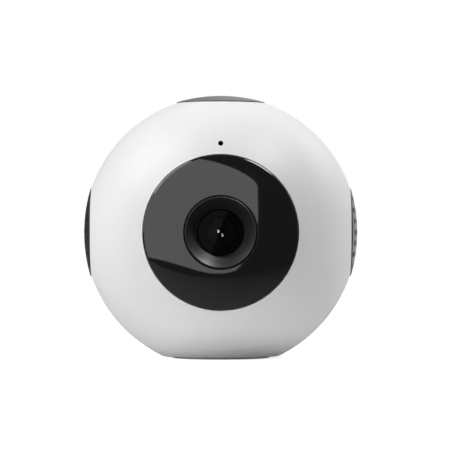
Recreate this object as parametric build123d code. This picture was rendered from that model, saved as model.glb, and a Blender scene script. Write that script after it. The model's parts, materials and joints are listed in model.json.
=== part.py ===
from build123d import *
from math import asin, cos, degrees, pi, sin, sqrt
import os

# Mini ball security camera. Millimetres, +Z up, the lens looks along -Y.
# Everything is modelled about the centre of the ball and lifted by CENTRE_HEIGHT at the end,
# so the origin of the written pieces is the middle of the foot, on the table.

# Ball shell, in two halves that lap at the plane y = 0
BALL_R = 30.0
WALL = 2.0
BASE_FLAT_R = 12.868
BASE_EDGE_FILLET = 1.0
FLOOR_WALL = 1.6
LAP_HEIGHT = 1.2
LAP_GAP = 0.05
SCREW_BOSS_R = 2.2

# Round caps let into the shell: two grilles, the top button and the rear panel
CAP_APERTURE_R = 9.8
CAP_GAP = 0.15
CAP_DOME_R = 33.8
CAP_WALL = 1.2
CAP_SKIRT_WALL = 1.2
CAP_LEDGE_DROP = 3.6
CAP_LEDGE_WALL = 1.8
CAP_LEDGE_WIDTH = 2.2
CAP_LEDGE_LIP = 1.8

# Grille holes and the acoustic cloth behind them
GRILLE_HOLE_R = 0.65
GRILLE_PITCH = 2.4
GRILLE_HOLE_DEPTH = 1.8
GRILLE_HOLE_SIDES = 8
GRILLE_FIELD_INSET = 0.95
MESH_WALL = 0.2
MESH_GAP = 0.05

# Hooks that hold the button and the rear panel under their ledges
HOOK_WALL = 0.8
HOOK_ANGLE = 36.0
HOOK_REACH = 0.6
HOOK_HEIGHT = 0.6
HOOK_GAP = 0.2
HOOK_LEDGE_GAP = 0.05

# Front window and its adhesive gasket
WINDOW_APERTURE_R = 16.58
WINDOW_GAP = 0.15
WINDOW_WALL = 2.0
WINDOW_RIM_WIDTH = 1.3
WINDOW_REBATE = 2.8
WINDOW_SHELF_WALL = 1.5
WINDOW_SHELF_LIP = 0.1
GASKET_WALL = 0.2

# Lens bezel: a satin funnel through the middle of the window
BEZEL_R = 7.62
BEZEL_GAP = 0.22
BEZEL_PROUD = 0.16
BEZEL_LIP_WIDTH = 0.5
BEZEL_LIP_CHAMFER = 0.15
BEZEL_THROAT_R = 5.05
BEZEL_FUNNEL_DEPTH = 2.4
BEZEL_THROAT_LENGTH = 0.6
BEZEL_TUBE_WALL = 2.0
BEZEL_TUBE_LENGTH = 3.2
BEZEL_GLUE_GAP = 0.1

# Lens barrel, its glasses and its lock nut
BARREL_THREAD_R = 5.95
BARREL_THREAD_GAP = 0.05
BARREL_THREAD_LENGTH = 7.8
BARREL_HEAD_PLAY = 0.45
BARREL_HEAD_LENGTH = 3.3
BARREL_HEAD_GAP = 0.3
BARREL_MOUTH_STEP = 0.05
BARREL_MOUTH_DEPTH = 2.8
BARREL_THROAT_R = 3.4
BARREL_THROAT_LENGTH = 1.6
BARREL_REAR_BORE_R = 4.0
GLASS_GAP = 0.05
FRONT_LENS_SURFACE_R = 8.0
FRONT_LENS_EDGE = 0.32
RETAINER_LENGTH = 1.4
RETAINER_RIM_DROP = 0.2
RETAINER_FACE_FALL = 0.6
RETAINER_OPENING_R = 3.1
STOP_OPENING_R = 1.05
STOP_WALL = 0.3
STOP_SKIRT_WALL = 0.75
STOP_LENGTH = 1.9
REAR_LENS_SURFACE_R = 7.0
REAR_LENS_EDGE = 1.4
LOCK_NUT_WIDTH = 1.65
LOCK_NUT_GAP = 0.3
LOCK_NUT_LENGTH = 1.2
LOCK_NUT_SIDES = 12

# Lens holder on the sensor board
HOLDER_HEIGHT = 7.8
HOLDER_ROOF_WALL = 1.4
HOLDER_WALL = 1.2
HOLDER_SIDE_PLAY = 1.5
HOLDER_RAIL_PLAY = 0.45
HOLDER_ROTOR_PLAY = 0.3
HOLDER_TUBE_STEP = 0.3
HOLDER_TUBE_LENGTH = 7.0
HOLDER_EAR_R = 2.0
HOLDER_EAR_REACH = 1.9
HOLDER_EAR_Z = 3.0
HOLDER_LUG_Z = -4.0
HOLDER_LUG_LENGTH = 4.0

# Sensor and sensor board
BOARD_WALL = 1.0
SENSOR_BOARD_MARGIN = 0.2
SENSOR_BOARD_FOOT = 0.5
SENSOR_WIDTH = 9.0
SENSOR_HEIGHT = 7.6
SENSOR_WALL = 1.1

# Infrared-cut filter switch: a slider with two glasses, moved by a magnet rotor
TRAY_HEIGHT = 1.8
TRAY_WALL = 0.8
TRAY_GAP = 0.1
TRAY_LIGHT_R = 2.3
SLIDER_WALL = 1.0
SLIDER_GAP = 0.05
SLIDER_HALF_HEIGHT = 4.0
SLIDER_END = 0.4
FILTER_PITCH = 5.6
FILTER_WIDTH = 5.2
FILTER_HEIGHT = 7.0
FILTER_WALL = 0.5
FILTER_SEAT = 0.3
RAIL_WIDTH = 0.7
RAIL_HEIGHT = 1.4
PIN_MARGIN = 1.0
ROTOR_R = 1.9
ROTOR_LENGTH = 1.8
ROTOR_PIVOT_R = 0.6
ROTOR_GAP = 0.05
ARM_LENGTH = 5.0
ARM_WIDTH = 1.6
ARM_WALL = 0.8
PIN_R = 0.5
PIN_GAP = 0.1
TAB_HALF_WIDTH = 1.6
TAB_END = 0.8
COIL_R = 1.45
COIL_CORE_R = 0.5
COIL_LENGTH = 4.4
COIL_X = 7.4
COIL_HEIGHT = 2.2

# Moulded inner frame: a plate behind the lens ring, a shelf for boards and a shelf for the button
FRAME_PLATE_WALL = 1.6
FRAME_PLATE_MARGIN = 1.85
FRAME_LENS_GAP = 0.3
FRAME_SCREW_INSET = 2.8
FRAME_SCREW_START = 30.0
SHELF_GAP = 0.4
SHELF_WALL = 1.5
SHELF_EDGE_GAP = 0.4
BUTTON_SHELF_HALF_WIDTH = 8.0
BUTTON_SHELF_REAR = 6.0
GUSSET_WALL = 1.2
GUSSET_GAP = 0.6
POST_R = 2.0

# Infrared light board behind the window
LED_BOARD_GAP = 0.2
LED_BOARD_MARGIN = 0.4
LED_BOARD_BORE_GAP = 0.4
LED_COUNT = 6
LED_WIDTH = 3.5
LED_DEPTH = 2.8
LED_HEIGHT = 1.7
LED_POST_INSET = 2.0
LED_POST_R = 1.5
LIGHT_SENSOR_WIDTH = 2.0
LIGHT_SENSOR_HEIGHT = 1.0
SHIELD_BORE_GAP = 0.4
SHIELD_WALL = 1.6

# Microphone behind the pinhole over the window
MIC_HOLE_R = 0.55
MIC_RIM = 2.32
MIC_BOOT_R = 2.7
MIC_BOOT_GAP = 0.05
MIC_COLLAR_WALL = 0.85
MIC_POCKET_FLOOR = 0.66
MIC_COLLAR_LENGTH = 2.4
MIC_CAPSULE_R = 2.0
MIC_CAPSULE_LENGTH = 1.5

# Top button on a small switch
BUTTON_TRAVEL = 0.3
BUTTON_FLOOR_GAP = 0.1
BUTTON_BOSS_R = 2.2
SWITCH_WIDTH = 6.0
SWITCH_HEIGHT = 3.5
SWITCH_LEDGE_GAP = 0.6
SWITCH_STEM_R = 1.7
SWITCH_STEM_PROUD = 0.9
SWITCH_STEM_SUNK = 0.8
SWITCH_GAP = 0.05
SWITCH_FLOOR_GAP = 0.1
BUTTON_BOARD_LENGTH = 10.0

# Main board and what stands on it
MAIN_BOARD_SIDE_GAP = 1.0
MAIN_BOARD_FRONT_GAP = 1.2
MAIN_BOARD_EDGE_GAP = 2.5
POST_SIDE_INSET = 2.3
POST_FRONT_INSET = 1.8
POST_REAR_INSET = 5.5
POST_REAR_X = 12.5
PROCESSOR_X = -6.0
PROCESSOR_WIDTH = 10.0
PROCESSOR_HEIGHT = 1.1
PAD_WALL = 0.5
SINK_WIDTH = 11.0
SINK_BASE = 1.2
SINK_HEIGHT = 6.0
SINK_FINS = 6
SINK_FIN_WALL = 0.8
WIRELESS_X = 7.5
WIRELESS_WIDTH = 12.0
WIRELESS_ROOM = 3.7
WIRELESS_BOARD_WALL = 0.8
WIRELESS_CAN_HEIGHT = 1.7
WIRELESS_EDGE = 0.6
WIRELESS_AERIAL_END = 3.0
ANTENNA_WIDTH = 14.0
ANTENNA_LENGTH = 9.0
ANTENNA_WALL = 0.2

# Rear panel with the power inlet, the card slot and the reset pinhole
PANEL_PROUD = 0.2
PANEL_CHAMFER = 0.4
PANEL_LEDGE_BORE_R = 8.6
USB_WIDTH = 8.94
USB_HEIGHT = 3.26
USB_LENGTH = 7.3
USB_WALL = 0.3
USB_RECESS = 1.0
USB_GAP = 0.22
USB_TONGUE_WIDTH = 6.7
USB_TONGUE_WALL = 0.7
USB_TONGUE_LENGTH = 5.0
USB_BACK = 1.2
USB_OVERHANG = 3.6
CARD_SOCKET_WIDTH = 14.0
CARD_SOCKET_HEIGHT = 1.5
CARD_SOCKET_LENGTH = 14.3
CARD_SOCKET_RECESS = 1.1
CARD_SLOT_WIDTH = 11.4
CARD_SLOT_HEIGHT = 1.0
CARD_PANEL_GAP = 0.2
RESET_X = 7.2
RESET_PINHOLE_R = 0.6
RESET_TRAVEL = 0.25
RESET_BODY_WIDTH = 3.0
RESET_BODY_HEIGHT = 3.2
RESET_BODY_LENGTH = 4.6
RESET_BODY_PROUD = 0.2
RESET_PLUNGER_R = 0.9
RESET_PLUNGER_PROUD = 1.4
RESET_PLUNGER_SUNK = 1.0

# Speaker behind the right grille
SPEAKER_R = 9.4
SPEAKER_GASKET_WALL = 0.5
SPEAKER_FLANGE_WALL = 1.2
SPEAKER_WALL = 0.6
SPEAKER_MAGNET_R = 5.5
SPEAKER_MAGNET_LENGTH = 3.0
SPEAKER_CONE_R = 8.0
SPEAKER_DOME_R = 4.0
SPEAKER_CONE_WALL = 0.3
SPEAKER_DOME_RISE = 0.7

# Battery under the shelf
BATTERY_WIDTH = 30.0
BATTERY_PLATE_GAP = 2.0
BATTERY_FILLET = 1.5
BATTERY_PAD_WIDTH = 14.0
BATTERY_PAD_LENGTH = 12.0
BATTERY_PAD_WALL = 1.2

# Base plate, tripod insert and rubber foot
PLATE_MARGIN = 1.6
PLATE_GAP = 0.15
PLATE_WALL = 2.2
HUB_WALL = 1.6
HUB_GAP = 0.2
HUB_CAP = 1.0
INSERT_R = 4.4
INSERT_BORE_R = 2.55
INSERT_LENGTH = 5.5
FOOT_MARGIN = 0.55
FOOT_BORE_MARGIN = 0.6
FOOT_WALL = 1.2
FOOT_PROUD = 0.4
FOOT_CHAMFER = 0.15
FOOT_GAP = 0.1

# Small self-tapping screws, all alike
SCREW_R = 0.8
SCREW_LENGTH = 4.0
SCREW_HEAD_R = 1.5
SCREW_HEAD_HEIGHT = 0.7
SCREW_GAP = 0.05
SCREW_SIDES = 8
BASE_SCREW_REACH = 2.3

# Flat cable from the sensor board to the main board
FLEX_WIDTH = 10.0
FLEX_WALL = 0.2
FLEX_BEND_R = 1.2
FLEX_LOW = -7.9
FLEX_REACH = 3.4
CONNECTOR_WIDTH = 12.0
CONNECTOR_HEIGHT = 1.2
CONNECTOR_LENGTH = 2.2

# Shell values that follow from the sizes above
BASE_DROP = sqrt(BALL_R**2 - BASE_FLAT_R**2)
CENTRE_HEIGHT = BASE_DROP + FOOT_PROUD
INNER_R = BALL_R - WALL
CAP_R = CAP_APERTURE_R - CAP_GAP
CAP_LEDGE_HEIGHT = BALL_R - CAP_LEDGE_DROP
CAP_LEDGE_UNDER = CAP_LEDGE_HEIGHT - CAP_LEDGE_WALL
CAP_LEDGE_BORE_R = CAP_APERTURE_R - CAP_LEDGE_WIDTH
CAP_DOME_CENTRE = BALL_R - CAP_DOME_R
GRILLE_FIELD_R = CAP_R - GRILLE_FIELD_INSET
WINDOW_R = WINDOW_APERTURE_R - WINDOW_GAP
WINDOW_RIM_R = WINDOW_R - WINDOW_RIM_WIDTH
WINDOW_INNER_R = BALL_R - WINDOW_WALL
WINDOW_SEAT_DEPTH = sqrt(BALL_R**2 - WINDOW_APERTURE_R**2) - WINDOW_REBATE
PANEL_FACE = sqrt(BALL_R**2 - CAP_R**2) + PANEL_PROUD
SCREW_HOLE_R = SCREW_R + SCREW_GAP

# Bezel and lens values that follow
WINDOW_BORE_R = BEZEL_R + BEZEL_GAP
BEZEL_LIP_DEPTH = sqrt(BALL_R**2 - WINDOW_BORE_R**2) + BEZEL_PROUD
BEZEL_TUBE_R = BEZEL_THROAT_R + BEZEL_TUBE_WALL
BEZEL_FLANGE_R = BEZEL_TUBE_R + BEZEL_TUBE_WALL
BEZEL_FLANGE_DEPTH = sqrt(WINDOW_INNER_R**2 - BEZEL_FLANGE_R**2) - BEZEL_GLUE_GAP
BEZEL_REAR = BEZEL_FLANGE_DEPTH - BEZEL_TUBE_LENGTH
BEZEL_THROAT_REAR = BEZEL_LIP_DEPTH - BEZEL_FUNNEL_DEPTH - BEZEL_THROAT_LENGTH
BARREL_HEAD_R = BEZEL_TUBE_R - BARREL_HEAD_PLAY
BARREL_MOUTH_R = BEZEL_THROAT_R - BARREL_MOUTH_STEP
BARREL_FRONT = BEZEL_THROAT_REAR - BARREL_HEAD_GAP
BARREL_SHOULDER = BARREL_FRONT - BARREL_HEAD_LENGTH
BARREL_REAR = BARREL_SHOULDER - BARREL_THREAD_LENGTH
GLASS_SEAT = BARREL_FRONT - BARREL_MOUTH_DEPTH
STOP_FRONT = GLASS_SEAT - BARREL_THROAT_LENGTH
LOCK_NUT_R = BARREL_THREAD_R + LOCK_NUT_WIDTH
HOLDER_TUBE_R = LOCK_NUT_R + HOLDER_TUBE_STEP
HOLDER_TUBE_FRONT = BARREL_SHOULDER - LOCK_NUT_GAP - LOCK_NUT_LENGTH
HOLDER_ROOF_DEPTH = HOLDER_TUBE_FRONT - HOLDER_TUBE_LENGTH
FRAME_FRONT = HOLDER_ROOF_DEPTH + FRAME_PLATE_WALL
SENSOR_BOARD_DEPTH = HOLDER_ROOF_DEPTH - HOLDER_HEIGHT

# Filter switch values that follow
TRAY_DEPTH = SENSOR_BOARD_DEPTH + TRAY_HEIGHT
TRAY_TOP = TRAY_DEPTH + TRAY_WALL
COIL_DEPTH = TRAY_TOP + COIL_HEIGHT
SLIDER_FLOOR = TRAY_TOP + SLIDER_GAP
SLIDER_TOP = SLIDER_FLOOR + SLIDER_WALL
SLIDER_HALF_LENGTH = FILTER_PITCH + SLIDER_END
SLIDER_TRAVEL = FILTER_PITCH
SLIDER_START = -SLIDER_TRAVEL / 2
ROTOR_Z = SLIDER_HALF_HEIGHT + PIN_MARGIN + ARM_LENGTH
ARM_ANGLE = asin(SLIDER_TRAVEL / 2 / ARM_LENGTH)
PIN_HIGH_Z = ROTOR_Z - ARM_LENGTH * cos(ARM_ANGLE)
PIN_LOW_Z = ROTOR_Z - ARM_LENGTH
ARM_FLOOR = SLIDER_TOP + 3 * SLIDER_GAP
HOLDER_HALF_WIDTH = SLIDER_HALF_LENGTH + SLIDER_TRAVEL / 2 + HOLDER_SIDE_PLAY + HOLDER_WALL
HOLDER_BELOW = SLIDER_HALF_HEIGHT + SLIDER_GAP + RAIL_WIDTH + TRAY_GAP + HOLDER_RAIL_PLAY + HOLDER_WALL
HOLDER_ABOVE = ROTOR_Z + ROTOR_R + HOLDER_ROTOR_PLAY + HOLDER_WALL
HOLDER_EAR_X = HOLDER_HALF_WIDTH + HOLDER_EAR_REACH
SENSOR_BOARD_HALF_WIDTH = HOLDER_EAR_X + HOLDER_EAR_R + SENSOR_BOARD_MARGIN
SENSOR_BOARD_ABOVE = HOLDER_ABOVE + SENSOR_BOARD_MARGIN
SENSOR_BOARD_BELOW = CONNECTOR_LENGTH / 2 + SENSOR_BOARD_FOOT - FLEX_LOW

# Light board and microphone values that follow
LED_BOARD_DEPTH = WINDOW_SEAT_DEPTH - WINDOW_SHELF_WALL - LED_BOARD_GAP - BOARD_WALL
LED_BOARD_FRONT = LED_BOARD_DEPTH + BOARD_WALL
LED_BOARD_R = WINDOW_RIM_R - LED_BOARD_MARGIN
LED_BOARD_BORE_R = HOLDER_TUBE_R + LED_BOARD_BORE_GAP
LED_POST_RADIUS = LED_BOARD_R - LED_POST_INSET
SHIELD_BORE_R = LOCK_NUT_R + SHIELD_BORE_GAP
SHIELD_R = SHIELD_BORE_R + SHIELD_WALL
LED_RADIUS = (SHIELD_R + LED_BOARD_R) / 2
FRAME_PLATE_R = sqrt(INNER_R**2 - FRAME_FRONT**2) - FRAME_PLATE_MARGIN
FRAME_SCREW_RADIUS = FRAME_PLATE_R - FRAME_SCREW_INSET
MIC_HEIGHT = WINDOW_APERTURE_R + MIC_RIM
MIC_POCKET_DEPTH = sqrt(INNER_R**2 - MIC_HEIGHT**2) - MIC_POCKET_FLOOR

# Button, speaker, rear panel and main board values that follow
SWITCH_TOP = CAP_LEDGE_UNDER - SWITCH_LEDGE_GAP
SWITCH_STEM_TOP = SWITCH_TOP + SWITCH_STEM_PROUD
BUTTON_BOARD_TOP = SWITCH_TOP - SWITCH_HEIGHT
BUTTON_SHELF_TOP = BUTTON_BOARD_TOP - BOARD_WALL
GUSSET_REACH = BUTTON_SHELF_TOP - SHELF_WALL - HOLDER_ABOVE - GUSSET_GAP
SPEAKER_FRONT = CAP_LEDGE_UNDER - SPEAKER_GASKET_WALL
SPEAKER_BACK = SPEAKER_FRONT - SPEAKER_FLANGE_WALL
MAGNET_TOP = SPEAKER_BACK - SPEAKER_WALL
USB_REAR = PANEL_FACE - USB_RECESS
MAIN_BOARD_TOP = -USB_HEIGHT / 2
MAIN_BOARD_UNDER = MAIN_BOARD_TOP - BOARD_WALL
MAIN_BOARD_HALF_WIDTH = MAGNET_TOP - SPEAKER_MAGNET_LENGTH - MAIN_BOARD_SIDE_GAP
MAIN_BOARD_FRONT = MAIN_BOARD_FRONT_GAP - SENSOR_BOARD_DEPTH + BOARD_WALL
MAIN_BOARD_REAR = USB_REAR - USB_OVERHANG
MAIN_BOARD_R = INNER_R - MAIN_BOARD_EDGE_GAP
POST_FRONT_X = MAIN_BOARD_HALF_WIDTH - POST_SIDE_INSET
POST_FRONT_Y = MAIN_BOARD_FRONT + POST_FRONT_INSET
POST_REAR_Y = MAIN_BOARD_REAR - POST_REAR_INSET
BOARD_PARTS_Y = (POST_FRONT_Y + POST_REAR_Y) / 2
WIRELESS_LENGTH = POST_REAR_Y - POST_FRONT_Y - 2 * SCREW_HEAD_R - WIRELESS_ROOM
CARD_SOCKET_REAR = CAP_LEDGE_HEIGHT - CARD_SOCKET_RECESS
CARD_SLOT_Z = MAIN_BOARD_UNDER - CARD_SOCKET_HEIGHT / 2
RESET_BODY_REAR = MAIN_BOARD_REAR + RESET_BODY_PROUD

# Base and battery values that follow
PLATE_R = BASE_FLAT_R - PLATE_MARGIN
PLATE_TOP = PLATE_WALL - BASE_DROP
FLOOR_TOP = PLATE_TOP + FLOOR_WALL
HUB_R = INSERT_R + HUB_WALL
HUB_TOP = INSERT_LENGTH + HUB_CAP - BASE_DROP
BASE_SCREW_RADIUS = HUB_R + BASE_SCREW_REACH
FOOT_R = PLATE_R - FOOT_MARGIN
FOOT_BORE_R = INSERT_R + FOOT_BORE_MARGIN
FOOT_TOP = FOOT_WALL - CENTRE_HEIGHT
SHELF_TOP = -SENSOR_BOARD_BELOW - SHELF_GAP
SHELF_R = CAP_LEDGE_UNDER - SHELF_EDGE_GAP
BATTERY_TOP = SHELF_TOP - SHELF_WALL
BATTERY_UNDER = HUB_TOP + BATTERY_PAD_WALL
BATTERY_LENGTH = 2 * (HOLDER_ROOF_DEPTH - BATTERY_PLATE_GAP)

# Local frames at the ball centre: local z leaves the ball, local y is up on the four sides
FRONT = Plane(origin=(0, 0, 0), x_dir=(1, 0, 0), z_dir=(0, -1, 0)).location
REAR = Plane(origin=(0, 0, 0), x_dir=(-1, 0, 0), z_dir=(0, 1, 0)).location
RIGHT = Plane(origin=(0, 0, 0), x_dir=(0, 1, 0), z_dir=(1, 0, 0)).location
LEFT = Plane(origin=(0, 0, 0), x_dir=(0, -1, 0), z_dir=(-1, 0, 0)).location
TOP = Plane.XY.location


def disc(radius, low, high, x=0.0, y=0.0):
    """Cylinder along local z between two heights."""
    return Pos(x, y, (low + high) / 2) * Cylinder(radius, high - low)


def ring(radius, bore, low, high, x=0.0, y=0.0):
    """Disc with a round hole right through it."""
    return disc(radius, low, high, x, y) - disc(bore, low - 1, high + 1, x, y)


def dome(radius, centre=0.0):
    """Ball about a point of local z, turned so that its poles and seam stay off the cap."""
    return Pos(0, 0, centre) * Rot(0, 90, 0) * Rot(90, 0, 0) * Sphere(radius)


def block(x0, x1, y0, y1, z0, z1):
    """Box between two corners."""
    return Pos((x0 + x1) / 2, (y0 + y1) / 2, (z0 + z1) / 2) * Box(x1 - x0, y1 - y0, z1 - z0)


def stadium(width, height, low, high, x=0.0, y=0.0):
    """Slot-shaped bar along local z with half-round ends."""
    outline = SlotOverall(width, height)
    return Pos(x, y, low) * extrude(outline, high - low)


def polar(radius, angle):
    """Point at a radius and an angle in degrees."""
    return radius * cos(angle * pi / 180), radius * sin(angle * pi / 180)


def turned(*points):
    """Solid of revolution about local z from (radius, height) points."""
    return revolve(Plane.XZ * make_face(Polyline(*points, close=True)), Axis.Z)


def cap_points(start, count=3):
    """Angles of evenly spaced places round an axis."""
    return [start + 360 / count * i for i in range(count)]


def screw(x, y, seat):
    """Screw with the underside of its head at local height seat, shank towards local +z."""
    shank = Pos(x, y, seat) * extrude(RegularPolygon(SCREW_R, SCREW_SIDES), SCREW_LENGTH)
    head = extrude(RegularPolygon(SCREW_HEAD_R, SCREW_SIDES), SCREW_HEAD_HEIGHT)
    return shank + Pos(x, y, seat - SCREW_HEAD_HEIGHT) * head


# Ball shell


def cap_ledge(frame):
    """Solid disc inside the shell that becomes the ledge of a round cap."""
    return frame * disc(CAP_APERTURE_R + CAP_LEDGE_LIP, CAP_LEDGE_UNDER, BALL_R)


def cap_hole(frame, bore):
    """Aperture of a round cap and the smaller bore through its ledge."""
    return frame * (disc(CAP_APERTURE_R, CAP_LEDGE_HEIGHT, BALL_R + 1) + disc(bore, 0, BALL_R))


CAP_SEATS = [
    (RIGHT, CAP_LEDGE_BORE_R),
    (LEFT, CAP_LEDGE_BORE_R),
    (TOP, CAP_LEDGE_BORE_R),
    (REAR, PANEL_LEDGE_BORE_R),
]


def frame_screw_places():
    """Places of the screws that hold the inner frame to the front shell."""
    return [polar(FRAME_SCREW_RADIUS, a) for a in cap_points(FRAME_SCREW_START)]


def base_screw_places():
    """Places of the screws that hold the base plate, two in each half of the shell."""
    return [polar(BASE_SCREW_RADIUS, a) for a in cap_points(45, 4)]


def ball(radius):
    """Ball with its poles at the window and the rear panel and its seam between cut-outs."""
    return Rot(0, 45, 0) * Rot(90, 0, 0) * Sphere(radius)


def shell_inside():
    """Solids that stay inside the shell: cap ledges, window shelf, mic collar and screw bosses."""
    mic_r = MIC_BOOT_R + MIC_BOOT_GAP + MIC_COLLAR_WALL
    inside = [cap_ledge(frame) for frame, bore in CAP_SEATS]
    inside.append(FRONT * disc(INNER_R, WINDOW_SEAT_DEPTH - WINDOW_SHELF_WALL, WINDOW_SEAT_DEPTH))
    inside.append(FRONT * disc(mic_r, MIC_POCKET_DEPTH - MIC_COLLAR_LENGTH, WINDOW_SEAT_DEPTH,
                               0, MIC_HEIGHT))
    inside += [FRONT * disc(SCREW_BOSS_R, FRAME_FRONT, WINDOW_SEAT_DEPTH, x, z)
               for x, z in frame_screw_places()]
    inside += [disc(SCREW_BOSS_R, PLATE_TOP, HUB_TOP, x, y) for x, y in base_screw_places()]
    return inside


def shell_cuts():
    """Holes through the shell for the caps, window, microphone, screws and base plate."""
    cuts = [cap_hole(frame, bore) for frame, bore in CAP_SEATS]
    cuts.append(FRONT * disc(WINDOW_APERTURE_R, WINDOW_SEAT_DEPTH, BALL_R + 1))
    cuts.append(FRONT * disc(WINDOW_RIM_R - WINDOW_SHELF_LIP, 0, BALL_R))
    cuts.append(FRONT * disc(MIC_HOLE_R, 0, BALL_R, 0, MIC_HEIGHT))
    cuts.append(FRONT * disc(MIC_BOOT_R + MIC_BOOT_GAP, 0, MIC_POCKET_DEPTH, 0, MIC_HEIGHT))
    cuts += [FRONT * disc(SCREW_HOLE_R, FRAME_FRONT, FRAME_FRONT + SCREW_LENGTH, x, z)
             for x, z in frame_screw_places()]
    cuts.append(disc(PLATE_R + PLATE_GAP, -BASE_DROP - 1, PLATE_TOP))
    cuts.append(disc(HUB_R + HUB_GAP, -BASE_DROP, FLOOR_TOP + 1))
    cuts += [disc(SCREW_HOLE_R, PLATE_TOP, HUB_TOP + 1, x, y) for x, y in base_screw_places()]
    return cuts


def shell():
    """Whole hollow ball, before it is split."""
    size = 2 * BALL_R
    outside = ball(BALL_R) & block(-size, size, -size, size, -BASE_DROP, size)
    base_edge = outside.edges().filter_by(GeomType.CIRCLE).sort_by(Axis.Z)[0]
    outside = fillet(base_edge, BASE_EDGE_FILLET)
    cavity = ball(INNER_R) & block(-size, size, -size, size, FLOOR_TOP, size)
    for solid in shell_inside():
        cavity = cavity - solid
    hollow = outside - cavity
    for cut in shell_cuts():
        hollow = hollow - cut
    return hollow


def shell_halves():
    """Front half with a tongue on the inner half of its wall, and the rear half that laps it."""
    whole = shell()
    mid_wall = BALL_R - WALL / 2
    size = 2 * BALL_R
    front_side = block(-size, size, -size, 0, -size, size)
    tongue = REAR * disc(mid_wall - LAP_GAP / 2, -1, LAP_HEIGHT)
    groove = REAR * disc(mid_wall + LAP_GAP / 2, -1, LAP_HEIGHT + LAP_GAP)
    return whole & (front_side + tongue), whole - front_side - groove


# Round caps


def dome_cap(low):
    """Cap blank in a local frame: a shallow dome with a skirt down to a height."""
    outer = disc(CAP_R, low, BALL_R + 1) & dome(CAP_DOME_R, CAP_DOME_CENTRE)
    hollow = disc(CAP_R - CAP_SKIRT_WALL, low - 1, BALL_R + 1)
    return outer - (hollow & dome(CAP_DOME_R - CAP_WALL, CAP_DOME_CENTRE))


def grille_places():
    """Square grid of hole centres inside the round field."""
    reach = int(GRILLE_FIELD_R / GRILLE_PITCH)
    grid = [i * GRILLE_PITCH for i in range(-reach, reach + 1)]
    return [(x, y) for x in grid for y in grid if sqrt(x * x + y * y) <= GRILLE_FIELD_R]


def grille():
    """Perforated side cap, bonded to the ledge by its skirt. The outermost holes end in the skirt."""
    hole = extrude(RegularPolygon(GRILLE_HOLE_R, GRILLE_HOLE_SIDES), BALL_R)
    holes = []
    for x, y in grille_places():
        face = CAP_DOME_CENTRE + sqrt(CAP_DOME_R**2 - x * x - y * y)
        holes.append(Pos(x, y, face - GRILLE_HOLE_DEPTH) * hole)
    return dome_cap(CAP_LEDGE_HEIGHT) - holes


def dust_mesh():
    """Acoustic cloth on the ledge, inside the grille's skirt."""
    return disc(CAP_R - CAP_SKIRT_WALL - MESH_GAP, CAP_LEDGE_HEIGHT, CAP_LEDGE_HEIGHT + MESH_WALL)


def hooks(bore, top, angles):
    """Snap hooks that pass a ledge bore and catch under the ledge."""
    leg_r = bore - HOOK_GAP
    low = CAP_LEDGE_UNDER - HOOK_LEDGE_GAP - HOOK_HEIGHT
    legs = []
    for angle in angles:
        catch = ring(leg_r + HOOK_REACH, leg_r - HOOK_WALL, low, low + HOOK_HEIGHT)
        leg = catch + ring(leg_r, leg_r - HOOK_WALL, low, top)
        wedge = Pos(0, 0, low) * extrude(
            make_face(Polyline((0, 0), polar(2 * bore, angle - HOOK_ANGLE / 2),
                               polar(2 * bore, angle + HOOK_ANGLE / 2), close=True)), top - low)
        legs.append(leg & wedge)
    return legs


def top_button():
    """Smooth cap that slides down onto its switch."""
    low = CAP_LEDGE_HEIGHT + BUTTON_TRAVEL + BUTTON_FLOOR_GAP
    under = CAP_DOME_CENTRE + CAP_DOME_R - CAP_WALL
    hook_top = CAP_DOME_CENTRE + sqrt((CAP_DOME_R - CAP_WALL / 2)**2 - CAP_LEDGE_BORE_R**2)
    cap = dome_cap(low) + disc(BUTTON_BOSS_R, SWITCH_STEM_TOP, under + CAP_WALL / 2)
    return cap + hooks(CAP_LEDGE_BORE_R, hook_top, cap_points(90))


def rear_panel():
    """Flat-faced port panel with two snap hooks."""
    panel = disc(CAP_R, CAP_LEDGE_HEIGHT, PANEL_FACE)
    face_edge = panel.edges().filter_by(GeomType.CIRCLE).sort_by(Axis.Z)[-1]
    panel = chamfer(face_edge, PANEL_CHAMFER)
    panel = panel + hooks(PANEL_LEDGE_BORE_R, PANEL_FACE - PANEL_CHAMFER, cap_points(90, 2))
    low, high = CAP_LEDGE_HEIGHT - 1, PANEL_FACE + 1
    usb = stadium(USB_WIDTH + 2 * USB_GAP, USB_HEIGHT + 2 * USB_GAP, low, high)
    card_w = CARD_SLOT_WIDTH + 2 * CARD_PANEL_GAP
    card_h = CARD_SLOT_HEIGHT + CARD_PANEL_GAP
    card = stadium(card_w, card_h, low, high, 0, CARD_SLOT_Z)
    return REAR * (panel - usb - card - disc(RESET_PINHOLE_R, low, high, -RESET_X, 0))


# Window, bezel and light board


def front_window():
    """Domed window that carries on the ball, with a hole for the bezel."""
    window = dome(BALL_R) & disc(WINDOW_R, WINDOW_SEAT_DEPTH + GASKET_WALL, BALL_R + 1)
    hollow = dome(WINDOW_INNER_R) & disc(WINDOW_RIM_R, 0, BALL_R)
    return FRONT * (window - hollow - disc(WINDOW_BORE_R, 0, BALL_R + 1))


def window_gasket():
    """Adhesive ring under the window's rim."""
    return FRONT * ring(WINDOW_R, WINDOW_RIM_R, WINDOW_SEAT_DEPTH, WINDOW_SEAT_DEPTH + GASKET_WALL)


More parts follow.
